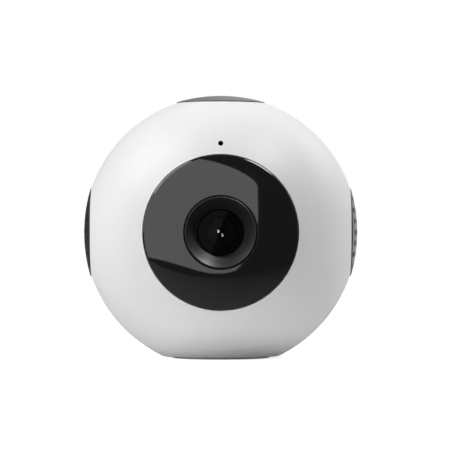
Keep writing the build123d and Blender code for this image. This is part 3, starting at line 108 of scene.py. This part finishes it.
def surface(name, colour, roughness, metallic=0.0, grain=3000.0, grain_depth=0.0, mottle=0.03,
            mottle_scale=60.0, rough_change=0.04, ior=1.5, coat=0.0, transmission=0.0, sheen=0.0,
            brushed=None):
    """Procedural material: mottled colour, uneven roughness and a fine moulded or cast grain."""
    n = material_nodes(name)
    place = n.add("ShaderNodeTexCoord").outputs["Object"]
    if brushed:
        place = n.add("ShaderNodeMapping", {"Vector": place, "Scale": brushed}).outputs["Vector"]
    broad = n.add("ShaderNodeTexNoise", {
        "Vector": place, "Scale": mottle_scale, "Detail": 3.0}).outputs["Fac"]
    tone = n.ramp(broad, NOISE_LOW, NOISE_HIGH, 1.0 - mottle, 1.0 + mottle)
    tint = n.add("ShaderNodeVectorMath", {0: colour, "Scale": tone}, operation="SCALE")
    rough = n.ramp(broad, NOISE_LOW, NOISE_HIGH, max(0.0, roughness - rough_change),
                   roughness + rough_change)
    shader = n.add("ShaderNodeBsdfPrincipled", {
        "Base Color": tint.outputs["Vector"], "Roughness": rough,
        "Metallic": metallic, "IOR": ior, "Coat Weight": coat,
        "Transmission Weight": transmission, "Sheen Weight": sheen})
    if grain_depth:
        fine = n.add("ShaderNodeTexNoise", {"Vector": place, "Scale": grain, "Detail": 2.0})
        bump = n.add("ShaderNodeBump", {"Height": fine.outputs["Fac"], "Distance": grain_depth})
        n.tree.links.new(bump.outputs["Normal"], shader.inputs["Normal"])
    n.add("ShaderNodeOutputMaterial", {"Surface": shader.outputs["BSDF"]})
    return n.owner


FINISHES = {
    "white_plastic": dict(colour=(0.80, 0.80, 0.80), roughness=0.42, grain=2500.0,
                          grain_depth=0.000008, mottle=0.012),
    "black_window": dict(colour=(0.0045, 0.0045, 0.0048), roughness=0.05, rough_change=0.01,
                         mottle=0.1, ior=1.75),
    "black_satin": dict(colour=(0.012, 0.012, 0.012), roughness=0.40, grain=6000.0,
                        grain_depth=0.000004, mottle=0.08),
    "grille_grey": dict(colour=(0.013, 0.013, 0.0133), roughness=0.33, grain=4000.0,
                        grain_depth=0.000006, mottle=0.06),
    "button_grey": dict(colour=(0.11, 0.11, 0.112), roughness=0.36, grain=4000.0,
                        grain_depth=0.000005, mottle=0.04),
    "panel_grey": dict(colour=(0.06, 0.06, 0.062), roughness=0.4, grain=3500.0,
                       grain_depth=0.000008, mottle=0.06),
    "frame_plastic": dict(colour=(0.03, 0.03, 0.03), roughness=0.5, grain=2500.0,
                          grain_depth=0.00001, mottle=0.1),
    "acoustic_cloth": dict(colour=(0.02, 0.02, 0.02), roughness=0.85, grain=9000.0,
                           grain_depth=0.00004, sheen=0.3, mottle=0.2),
    "foam": dict(colour=(0.03, 0.03, 0.03), roughness=0.95, grain=5000.0, grain_depth=0.00005,
                 mottle=0.25),
    "rubber": dict(colour=(0.025, 0.025, 0.025), roughness=0.72, grain=3000.0, grain_depth=0.00001,
                   mottle=0.15),
    # Painted light: the rubber foot is made pale instead of black rubber, to lighten the shade in
    # the gap under the ball.
    "painted_light_rubber": dict(colour=(0.78, 0.78, 0.78), roughness=0.7, grain=3000.0, grain_depth=0.00001,
                        mottle=0.04),
    "grey_pad": dict(colour=(0.33, 0.35, 0.38), roughness=0.6, grain=2500.0, grain_depth=0.00001),
    "circuit_board": dict(colour=(0.010, 0.085, 0.042), roughness=0.35, grain=1500.0,
                          grain_depth=0.00001, mottle=0.25, mottle_scale=500.0, coat=0.3),
    "chip": dict(colour=(0.02, 0.02, 0.021), roughness=0.55, grain=5000.0, grain_depth=0.000006,
                 mottle=0.1),
    "led_body": dict(colour=(0.72, 0.68, 0.5), roughness=0.25, mottle=0.08, coat=0.4),
    "lens_glass": dict(colour=(0.3, 0.32, 0.4), roughness=0.0, rough_change=0.0, mottle=0.01,
                       transmission=1.0, ior=1.33),
    "lens_ring": dict(colour=(0.0025, 0.0025, 0.0026), roughness=0.03, rough_change=0.01,
                      mottle=0.1, ior=1.33),
    "cut_filter_glass": dict(colour=(0.35, 0.75, 0.8), roughness=0.03, rough_change=0.0,
                             transmission=0.9, mottle=0.02),
    "clear_filter_glass": dict(colour=(0.95, 0.95, 0.95), roughness=0.03, rough_change=0.0,
                               transmission=0.95, mottle=0.02),
    "sensor_cover": dict(colour=(0.03, 0.02, 0.05), roughness=0.08, coat=0.8, mottle=0.2,
                         mottle_scale=300.0),
    "barrel_metal": dict(colour=(0.012, 0.012, 0.0125), roughness=0.36, metallic=0.3, mottle=0.1,
                         grain=5000.0, grain_depth=0.000004),
    "sink_metal": dict(colour=(0.75, 0.75, 0.76), roughness=0.32, metallic=1.0, grain=2000.0,
                       grain_depth=0.000006, brushed=(1.0, 0.05, 1.0)),
    "tin": dict(colour=(0.68, 0.68, 0.67), roughness=0.28, metallic=1.0, grain=1800.0,
                grain_depth=0.000005, brushed=(0.08, 1.0, 1.0)),
    "steel": dict(colour=(0.55, 0.55, 0.56), roughness=0.34, metallic=1.0, grain=3000.0,
                  grain_depth=0.000005),
    "magnet_metal": dict(colour=(0.42, 0.41, 0.40), roughness=0.25, metallic=1.0, grain=2500.0,
                         grain_depth=0.000004),
    "copper": dict(colour=(0.72, 0.28, 0.12), roughness=0.3, metallic=1.0, grain=6000.0,
                   grain_depth=0.00003, brushed=(1.0, 0.02, 0.02)),
    "brass": dict(colour=(0.74, 0.53, 0.2), roughness=0.3, metallic=1.0, grain=2500.0,
                  grain_depth=0.000005),
    "pouch_foil": dict(colour=(0.66, 0.66, 0.67), roughness=0.38, metallic=0.9, grain=600.0,
                       grain_depth=0.00005, mottle=0.06),
    "antenna_foil": dict(colour=(0.62, 0.33, 0.13), roughness=0.35, metallic=0.7, grain=3000.0,
                         grain_depth=0.00001),
}
MATERIALS = {name: surface(name, **settings) for name, settings in FINISHES.items()}
SLOTS = {part["node"]: part["material_slot"] for part in frame["record"]["subparts"]}
for node, slot in SLOTS.items():
    thing = frame["nodes"][node]
    thing.data.materials.clear()
    # The rubber foot gets the pale rubber, painted light against the shade under the ball.
    thing.data.materials.append(MATERIALS["painted_light_rubber" if node == "rubber_foot" else slot])
    for face in thing.data.polygons:
        face.material_index = 0

# Pieces that stand for CAD nodes with rounder and finer shapes. A radius under POLE_R is a pole.
POLE_R = 1e-6


def add_piece(name, vertices, faces, material, body, nodes, sharp=35.0):
    """Closed mesh with smooth faces and sharp corners, on a body, in place of CAD nodes."""
    mesh = bpy.data.meshes.new(name)
    mesh.from_pydata(vertices, [], faces)
    work = bmesh.new()
    work.from_mesh(mesh)
    bmesh.ops.recalc_face_normals(work, faces=work.faces)
    work.to_mesh(mesh)
    work.free()
    mesh.shade_smooth()
    mesh.set_sharp_from_angle(angle=radians(sharp))
    mesh.materials.append(MATERIALS[material])
    piece = bpy.data.objects.new(name, mesh)
    scene.collection.objects.link(piece)
    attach(piece, body)
    if nodes:
        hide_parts(*nodes)


def turned(name, profile, material, nodes, up=0.0, steps=144):
    """Piece turned round the lens axis, or a line beside it. The profile is a closed loop of points
    (radius, distance in front of the ball's centre) in mm."""
    vertices, rings = [], []
    for radius, depth in profile:
        count = 1 if radius < POLE_R else steps
        rings.append(range(len(vertices), len(vertices) + count))
        for i in range(count):
            turn = 2 * pi * i / steps
            vertices.append((radius * cos(turn) / 1000, -depth / 1000,
                             CENTRE.z + (up + radius * sin(turn)) / 1000))
    faces = []
    for one, two in zip(rings, rings[1:] + rings[:1]):
        if len(one) == 1 and len(two) == 1:
            continue
        for i in range(steps):
            j = (i + 1) % steps
            if len(one) == 1:
                faces.append((one[0], two[i], two[j]))
            elif len(two) == 1:
                faces.append((one[i], two[0], one[j]))
            else:
                faces.append((one[i], two[i], two[j], one[j]))
    add_piece(name, vertices, faces, material, "ball", nodes)


def arc(radius, centre_depth, low, high, count):
    """Points of a dome's profile between two radii, in order."""
    points = []
    for i in range(count + 1):
        r = low + (high - low) * i / count
        points.append((r, centre_depth + sqrt(radius * radius - r * r)))
    return points


def fillet(x, y, radius, start, stop, count):
    """Points round a corner's arc, between two angles in degrees."""
    turn = [radians(start + (stop - start) * i / count) for i in range(count + 1)]
    return [(x + radius * cos(a), y + radius * sin(a)) for a in turn]


# Window: the same dome and rim, with small bevels at its two edges
BALL_R, WINDOW_INNER_R = 30.0, 28.0
WINDOW_BORE_R, WINDOW_R, WINDOW_RIM_R, WINDOW_REAR = 7.84, 16.43, 15.13, 22.402
WINDOW_BEVEL = 0.06
window_top = arc(BALL_R, 0.0, WINDOW_BORE_R + WINDOW_BEVEL, WINDOW_R - WINDOW_BEVEL, 36)
turned("window", [(WINDOW_BORE_R, 28.90)] + window_top
       + [(WINDOW_R, 25.04), (WINDOW_R, WINDOW_REAR), (WINDOW_RIM_R, WINDOW_REAR)]
       + arc(WINDOW_INNER_R, 0.0, WINDOW_RIM_R, WINDOW_BORE_R, 20),
       "black_window", ["front_window"])

# Bezel: funnel with a round lip, a little slimmer at the lip, so that a dark gap shows round it
BEZEL_R, LIP_R, LIP_ROUND = 7.62, 7.52, 0.15
OPENING_ROUND, FUNNEL_TURN = 0.10, 138
FLANGE_R, SOCKET_R, LENS_OPENING_R = 9.05, 7.05, 5.05
FLANGE_FRONT, FLANGE_REAR, SOCKET_FLOOR = 26.397, 23.197, 26.117
turned("bezel", fillet(LIP_R - LIP_ROUND, 28.965, LIP_ROUND, 0, FUNNEL_TURN, 14) + [(6.15, 27.67)]
       + fillet(LENS_OPENING_R + OPENING_ROUND, 26.28, OPENING_ROUND, FUNNEL_TURN, 180, 4)
       + [(LENS_OPENING_R, SOCKET_FLOOR), (SOCKET_R, SOCKET_FLOOR), (SOCKET_R, FLANGE_REAR),
          (FLANGE_R, FLANGE_REAR), (FLANGE_R, FLANGE_FRONT), (BEZEL_R, FLANGE_FRONT),
          (BEZEL_R, 28.2), (LIP_R, 28.3)],
       "black_satin", ["lens_bezel"])

# Lens: the retaining ring and the front glass share one shallow dome
GLASS_DOME = (24.0, 1.90)
RING_BORE_R, RING_R, RING_REAR = 3.1, 4.95, 24.417
GLASS_FACE_R, GLASS_R, GLASS_STEP = 3.06, 4.93, 24.40
turned("retaining_ring", [(RING_BORE_R, RING_REAR), (RING_BORE_R, 25.66)]
       + arc(*GLASS_DOME, 3.14, 4.9, 10) + [(RING_R, 25.34), (RING_R, RING_REAR)],
       "lens_ring", ["lens_retainer"])
turned("front_glass", arc(*GLASS_DOME, 0.0, GLASS_FACE_R, 14)
       + [(GLASS_FACE_R, GLASS_STEP), (GLASS_R, GLASS_STEP), (GLASS_R, 23.04)]
       + arc(23.0, 1.0, 3.9, 0.0, 8), "lens_glass", ["front_lens"])

# Felt dot that keeps dust out of the microphone, at the bottom of its bore
MICROPHONE_UP = 18.9
FELT_R, FELT_ROUND, FELT_REAR = 0.52, 0.10, 17.13
turned("microphone_felt", [(0.0, 17.40), (0.30, 17.38)]
       + fillet(FELT_R - FELT_ROUND, 17.27, FELT_ROUND, 90, 0, 4)
       + [(FELT_R, FELT_REAR), (0.0, FELT_REAR)],
       "acoustic_cloth", [], up=MICROPHONE_UP, steps=32)

# Grilles: domed caps with round, slightly bevelled holes. The eight outermost holes are blind.
CAP_R, SKIRT_R, LEDGE = 9.65, 8.45, 26.4
DOME_R, DOME_WALL, DOME_CENTRE = 33.8, 1.2, -3.8
HOLE_R, HOLE_BEVEL, PITCH, FIELD_R, BLIND_DEPTH = 0.65, 0.05, 2.4, 8.7, 1.8
HOLE_STEPS, RIM_STEPS, LOOSE_STEPS = 20, 120, 72
# Rounded edges, as radius beyond the wall and depth under the dome
CAP_EDGE = ((-0.02, 0.02), (0.0, 0.09))
HOLE_EDGE = ((0.012, 0.018), (0.0, 0.06))
CAP_BEVEL = 0.08
# How far inside the edge the loose points begin, on the outer and inner face
LOOSE_INSET, LOOSE_RING_INSET, INNER_INSET = 0.6, 0.25, 0.4
# Points closer than this are one, and a triangle within this share of a hole's radius is in it
MERGE, IN_HOLE = 1e-7, 0.98


def circle(x, y, radius, steps):
    return [(x + radius * cos(2 * pi * i / steps), y + radius * sin(2 * pi * i / steps))
            for i in range(steps)]


def perforated(outline, holes, loose):
    """Triangles between an outline and holes, as indices into outline + holes + loose points. The
    loose points lie between the holes and keep the triangles on the dome."""
    points = [Vector(p) for p in outline]
    edges = [(i, (i + 1) % len(outline)) for i in range(len(outline))]
    for hole in holes:
        first = len(points)
        points += [Vector(p) for p in hole]
        edges += [(first + i, first + (i + 1) % len(hole)) for i in range(len(hole))]
    points += [Vector(p) for p in loose]
    found, _, faces, origin, _, _ = delaunay_2d_cdt(points, edges, [], 0, MERGE)
    kept = []
    middles = [sum((Vector(p) for p in hole), Vector((0, 0))) / len(hole) for hole in holes]
    reach = [(Vector(hole[0]) - middle).length * IN_HOLE for hole, middle in zip(holes, middles)]
    for face in faces:
        centre = sum((found[i] for i in face), Vector((0, 0))) / len(face)
        if all((centre - middle).length > r for middle, r in zip(middles, reach)):
            kept.append(tuple(origin[i][0] for i in face))
    return kept


def grille(name, side, node):
    """Cap on the side +1 (right) or -1 (left) of the ball."""
    vertices, faces = [], []

    def height(x, y, radius):
        return DOME_CENTRE + sqrt(radius * radius - x * x - y * y)

    def ring_of(points, radius=None, drop=0.0, level=None):
        first = len(vertices)
        for x, y in points:
            h = level if level is not None else height(x, y, radius) - drop
            vertices.append((side * h / 1000, side * x / 1000, CENTRE.z + y / 1000))
        return list(range(first, len(vertices)))

    def join(one, two):
        count = len(one)
        faces.extend((one[i], one[(i + 1) % count], two[(i + 1) % count], two[i])
                     for i in range(count))

    reach = int(FIELD_R / PITCH)
    grid = [i * PITCH for i in range(-reach, reach + 1)]
    places = [(x, y) for x in grid for y in grid if sqrt(x * x + y * y) <= FIELD_R]
    wider = [-(reach + 1) * PITCH] + grid
    corners = [(x + PITCH / 2, y + PITCH / 2) for x in wider for y in wider]
    through = [(x, y) for x, y in places if sqrt(x * x + y * y) + HOLE_R < SKIRT_R]

    rim = circle(0, 0, CAP_R - CAP_BEVEL, RIM_STEPS)
    wide = [circle(x, y, HOLE_R + HOLE_BEVEL, HOLE_STEPS) for x, y in places]
    loose = [p for p in corners if sqrt(p[0]**2 + p[1]**2) < CAP_R - LOOSE_INSET]
    loose += circle(0, 0, CAP_R - LOOSE_RING_INSET, LOOSE_STEPS)
    top = ring_of(rim, DOME_R)
    hole_tops = [ring_of(points, DOME_R) for points in wide]
    top_points = top + [i for ring in hole_tops for i in ring] + ring_of(loose, DOME_R)
    faces.extend(tuple(top_points[i] for i in face) for face in perforated(rim, wide, loose))

    under_rim = circle(0, 0, SKIRT_R, RIM_STEPS)
    narrow = [circle(x, y, HOLE_R, HOLE_STEPS) for x, y in through]
    inner = [p for p in corners if sqrt(p[0]**2 + p[1]**2) < SKIRT_R - INNER_INSET]
    under = ring_of(under_rim, DOME_R - DOME_WALL)
    hole_lows = [ring_of(points, DOME_R - DOME_WALL) for points in narrow]
    under_points = under + [i for ring in hole_lows for i in ring]
    under_points += ring_of(inner, DOME_R - DOME_WALL)
    faces.extend(tuple(under_points[i] for i in face)
                 for face in perforated(under_rim, narrow, inner))

    before = top
    for beyond, drop in CAP_EDGE:
        after = ring_of(circle(0, 0, CAP_R + beyond, RIM_STEPS), DOME_R, drop)
        join(before, after)
        before = after
    for radius in (CAP_R, SKIRT_R):
        after = ring_of(circle(0, 0, radius, RIM_STEPS), level=LEDGE)
        join(before, after)
        before = after
    join(before, under)

    for place, hole_top in zip(places, hole_tops):
        before = hole_top
        for beyond, drop in HOLE_EDGE:
            after = ring_of(circle(*place, HOLE_R + beyond, HOLE_STEPS), DOME_R, drop)
            join(before, after)
            before = after
        if place in through:
            join(before, hole_lows[through.index(place)])
        else:
            bottom = ring_of(circle(*place, HOLE_R, HOLE_STEPS), DOME_R, BLIND_DEPTH)
            join(before, bottom)
            faces.append(tuple(bottom))
    add_piece(name, vertices, faces, "grille_grey", "ball", [node], sharp=50.0)


grille("left_perforated_cap", -1, "left_grille")
grille("right_perforated_cap", 1, "right_grille")

# Floor: pale, keeps the shadow, and shows white to the camera. It ends in front of the object, so
# that the window mirrors the whole panel, and lies just under the foot.
FLOOR_FRONT = -0.051
FLOOR_SIDE = 1.2
FLOOR_GAP = 0.00002
FLOOR_PAINT = 0.9
FLOOR_SHOWN = 0.8
# Where its glow changes, in metres: distance from the middle, Y, Y on a slant, and X
WHITENS = (0.04, 0.14)
BEHIND = (-0.02, 0.04)
# Painted shade for glossy pieces: the floor's glow is dim in front of the object and to the left
# behind it.
FRONT_SHADE, FRONT_SHADE_SLANT, FRONT_SHADE_GLOW = (-0.074, -0.027), -0.3, 0.3
LIT_SIDE, UNLIT = (-0.05, 0.05), 0.15


def pale_floor():
    """Pale floor, white to the camera and in clear pieces. To glossy pieces its paint is black and
    it
    shows a glow with painted shade: white behind the object, dimmed to the left there, and dim in
    front of it."""
    n = material_nodes("floor")
    path = n.add("ShaderNodeLightPath").outputs
    spot = n.add("ShaderNodeTexCoord").outputs["Object"]
    place = n.add("ShaderNodeSeparateXYZ", {"Vector": spot}).outputs
    distance = n.add("ShaderNodeVectorMath", {0: spot}, operation="LENGTH").outputs["Value"]
    shown = n.ramp(distance, *WHITENS, FLOOR_SHOWN, 1.0)
    behind = n.ramp(place["Y"], *BEHIND)
    # Painted shade: the glow glossy pieces see is dim in front of the object, darkest at the front
    # edge.
    slant = n.math("MULTIPLY_ADD", place["X"], FRONT_SHADE_SLANT, place["Y"])
    front = n.ramp(slant, *FRONT_SHADE, 0.0, FRONT_SHADE_GLOW)
    # Painted shade: behind the object the glow glossy pieces see is dimmed to the left.
    side = n.mix(behind, 1.0, n.ramp(place["X"], *LIT_SIDE, UNLIT, 1.0))
    in_gloss = n.math("MULTIPLY", n.mix(behind, front, shown), side)
    gloss = n.math("MULTIPLY", path["Is Glossy Ray"], in_gloss)
    clear = n.math("MAXIMUM", path["Is Camera Ray"], path["Is Transmission Ray"])
    white = n.math("MULTIPLY", clear, shown)
    light = n.add("ShaderNodeEmission", {"Strength": n.math("ADD", white, gloss)})
    paint = n.add("ShaderNodeBsdfDiffuse", {"Color": (FLOOR_PAINT, FLOOR_PAINT, FLOOR_PAINT, 1.0)})
    none = n.add("ShaderNodeBsdfDiffuse", {"Color": (0.0, 0.0, 0.0, 1.0)})
    body = n.add("ShaderNodeMixShader", {"Fac": path["Is Glossy Ray"], 1: paint.outputs[0],
                                         2: none.outputs[0]})
    both = n.add("ShaderNodeAddShader", {0: body.outputs[0], 1: light.outputs[0]})
    n.add("ShaderNodeOutputMaterial", {"Surface": both.outputs[0]})
    return n.owner


def flat_mesh(name, corners, material):
    mesh = bpy.data.meshes.new(name)
    mesh.from_pydata(corners, [], [tuple(range(len(corners)))])
    thing = bpy.data.objects.new(name, mesh)
    mesh.materials.append(material)
    scene.collection.objects.link(thing)
    return thing


flat_mesh("floor", [(x, y, -FLOOR_GAP) for x, y in (
    (-FLOOR_SIDE, FLOOR_FRONT), (FLOOR_SIDE, FLOOR_FRONT), (FLOOR_SIDE, FLOOR_SIDE),
    (-FLOOR_SIDE, FLOOR_SIDE))], pale_floor())

# Soft light: one big panel behind the camera, whose outline the window shows
PANEL_Y = -0.8
PANEL_RADIANCE = 1.1
PANEL_OUTLINE = [
    (-2.9, -0.85), (-1.95, -0.72), (-1.45, -0.64), (-1.12, -0.617), (-0.88, -0.614),
    (-0.68, -0.62), (-0.52, -0.645), (-0.37, -0.667), (-0.225, -0.687), (-0.09, -0.695),
    (0.047, -0.689), (0.182, -0.665), (0.267, -0.63), (0.367, -0.50), (0.585, -0.168),
    (0.61, 0.10), (0.628, 0.267), (0.658, 0.493), (0.682, 0.623), (0.717, 0.771), (0.755, 0.92),
    (0.76, 1.0), (0.705, 1.122), (0.587, 1.241), (0.337, 1.436), (0.068, 1.643), (-0.245, 1.899),
    (-0.65, 2.25), (-2.9, 2.9)]


def glowing(name, strength, colour=(1.0, 1.0, 1.0)):
    n = material_nodes(name)
    light = n.add("ShaderNodeEmission", {"Color": (*colour, 1.0), "Strength": strength})
    n.add("ShaderNodeOutputMaterial", {"Surface": light.outputs[0]})
    return n.owner


def hanging(name, y, outline, material):
    """Stage sheet across the lens axis; its outline is the slope from the ball's front to each
    corner."""
    reach = -y - BALL_R / 1000
    sheet = flat_mesh(name, [(x * reach, y, CENTRE.z + z * reach) for x, z in outline], material)
    sheet.visible_camera = False


hanging("soft_panel", PANEL_Y, PANEL_OUTLINE, glowing("soft_panel", PANEL_RADIANCE))

# Round the camera the panel is covered: dim on the left, dark on the right of a slanting edge. Only
# faces square to the camera mirror this part: the lens and the lip of its bezel.
COVER_SLOPE = 0.575
COVER_DIM = 0.25
COVER_DARK = 0.04
# Where the slanting edge meets the cover's outline, in degrees
COVER_LOW, COVER_HIGH = -112.9, 72.6


def cover(start, stop, count=40):
    """Outline of the part of the round cover between two angles in degrees."""
    turn = [radians(start + (stop - start) * i / count) for i in range(count + 1)]
    return [(COVER_SLOPE * cos(a), COVER_SLOPE * sin(a)) for a in turn]


COVER_Y, CATCH_Y = PANEL_Y + 0.005, PANEL_Y + 0.01
hanging("dark_cover", COVER_Y, cover(COVER_LOW, COVER_HIGH), glowing("dark_cover", COVER_DARK))
hanging("dim_cover", COVER_Y, cover(COVER_HIGH, COVER_LOW + 360), glowing("dim_cover", COVER_DIM))

# Two small lights by the camera, which the lens mirrors: middle, half width and half height as
# slopes, colour, strength
CATCH_LIGHTS = [
    ("cool_light", (-0.044, 0.018), 0.020, 0.034, (0.86, 0.91, 1.0), 20.0),
    ("warm_light", (0.036, -0.048), 0.018, 0.034, (1.0, 0.84, 0.84), 13.0),
]
CATCH_OUTLINE = [(-1.0, -0.6), (-0.3, -1.0), (1.0, -0.7), (1.0, 0.5), (0.2, 1.0), (-1.0, 0.8)]
for name, (x, z), half_x, half_z, colour, strength in CATCH_LIGHTS:
    corners = [(x + half_x * across, z + half_z * up) for across, up in CATCH_OUTLINE]
    hanging(name, CATCH_Y, corners, glowing(name, strength, colour))


def hang_lamp(name, data, place, aim):
    lamp = bpy.data.objects.new(name, data)
    scene.collection.objects.link(lamp)
    lamp.location = place
    lamp.rotation_euler = (aim - Vector(place)).to_track_quat("-Z", "Y").to_euler()
    lamp.visible_camera = False


def area_light(name, place, size_x, size_y, radiance):
    """Soft lamp that looks at the ball; radiance is what its surface shows."""
    data = bpy.data.lights.new(name, "AREA")
    data.shape = "RECTANGLE"
    data.size, data.size_y = size_x, size_y
    data.energy = radiance * pi * size_x * size_y
    hang_lamp(name, data, place, CENTRE)


# Soft lamps round the object: place, width, height, radiance
LAMPS = [
    ("right_top_rear", (0.55, 0.45, 0.6), 0.6, 0.6, 1.6),
    ("left", (-0.85, 0.05, 0.35), 0.6, 0.7, 1.4),
    ("left_top", (-0.6, -0.05, 0.7), 0.6, 0.6, 3.25),
    ("upper_right", (0.42, -0.13, 0.75), 0.35, 0.3, 8.3),
]
for lamp in LAMPS:
    area_light(*lamp)

# Narrow lamp from the upper right, aimed at the bezel: it lights the lip and the funnel
BEAM_PLACE, BEAM_AIM = (0.32, -0.18, 0.68), Vector((0.0, -0.0297, CENTRE.z))
BEAM_DEGREES, BEAM_BLEND, BEAM_SOFT = 0.85, 0.3, 0.002
BEAM_ENERGY = 23.0
beam = bpy.data.lights.new("bezel_lamp", "SPOT")
beam.energy = BEAM_ENERGY
beam.spot_size = radians(BEAM_DEGREES)
beam.spot_blend = BEAM_BLEND
beam.shadow_soft_size = BEAM_SOFT
hang_lamp("bezel_lamp", beam, BEAM_PLACE, BEAM_AIM)

# World: a dark studio in front of the object and a white backdrop behind it. The camera sees white
# all round, and so do clear pieces; glossy ones see it only behind the object, and there only to
# the right and upwards.
WORLD_LEVEL = 0.13
WORLD_IN_GLOSS = 0.07
# Where the backdrop begins for glossy rays, by their heading: Y, and X on a slant
BACKDROP_BEHIND = (-0.2, 0.4)
BACKDROP_SIDE, BACKDROP_SLANT = (0.0, 0.2), 0.35
world = bpy.data.worlds.new("studio")
scene.world = world
w = Nodes(world)
path = w.add("ShaderNodeLightPath").outputs
heading = w.add("ShaderNodeTexCoord").outputs["Generated"]
heading = w.add("ShaderNodeSeparateXYZ", {"Vector": heading}).outputs
behind = w.ramp(heading["Y"], *BACKDROP_BEHIND)
slant = w.math("MULTIPLY_ADD", heading["Z"], BACKDROP_SLANT, heading["X"])
backdrop = w.math("MULTIPLY", behind, w.ramp(slant, *BACKDROP_SIDE))
gloss = w.math("MULTIPLY", path["Is Glossy Ray"], backdrop)
clear = w.math("MAXIMUM", path["Is Camera Ray"], path["Is Transmission Ray"])
level = w.ramp(path["Is Glossy Ray"], 0.0, 1.0, WORLD_LEVEL, WORLD_IN_GLOSS)
strength = w.ramp(w.math("MAXIMUM", clear, gloss), 0.0, 1.0, level, 1.0)
background = w.add("ShaderNodeBackground", {"Color": (1, 1, 1, 1), "Strength": strength})
w.add("ShaderNodeOutputWorld", {"Surface": background.outputs[0]})

scene.view_settings.view_transform = "Standard"
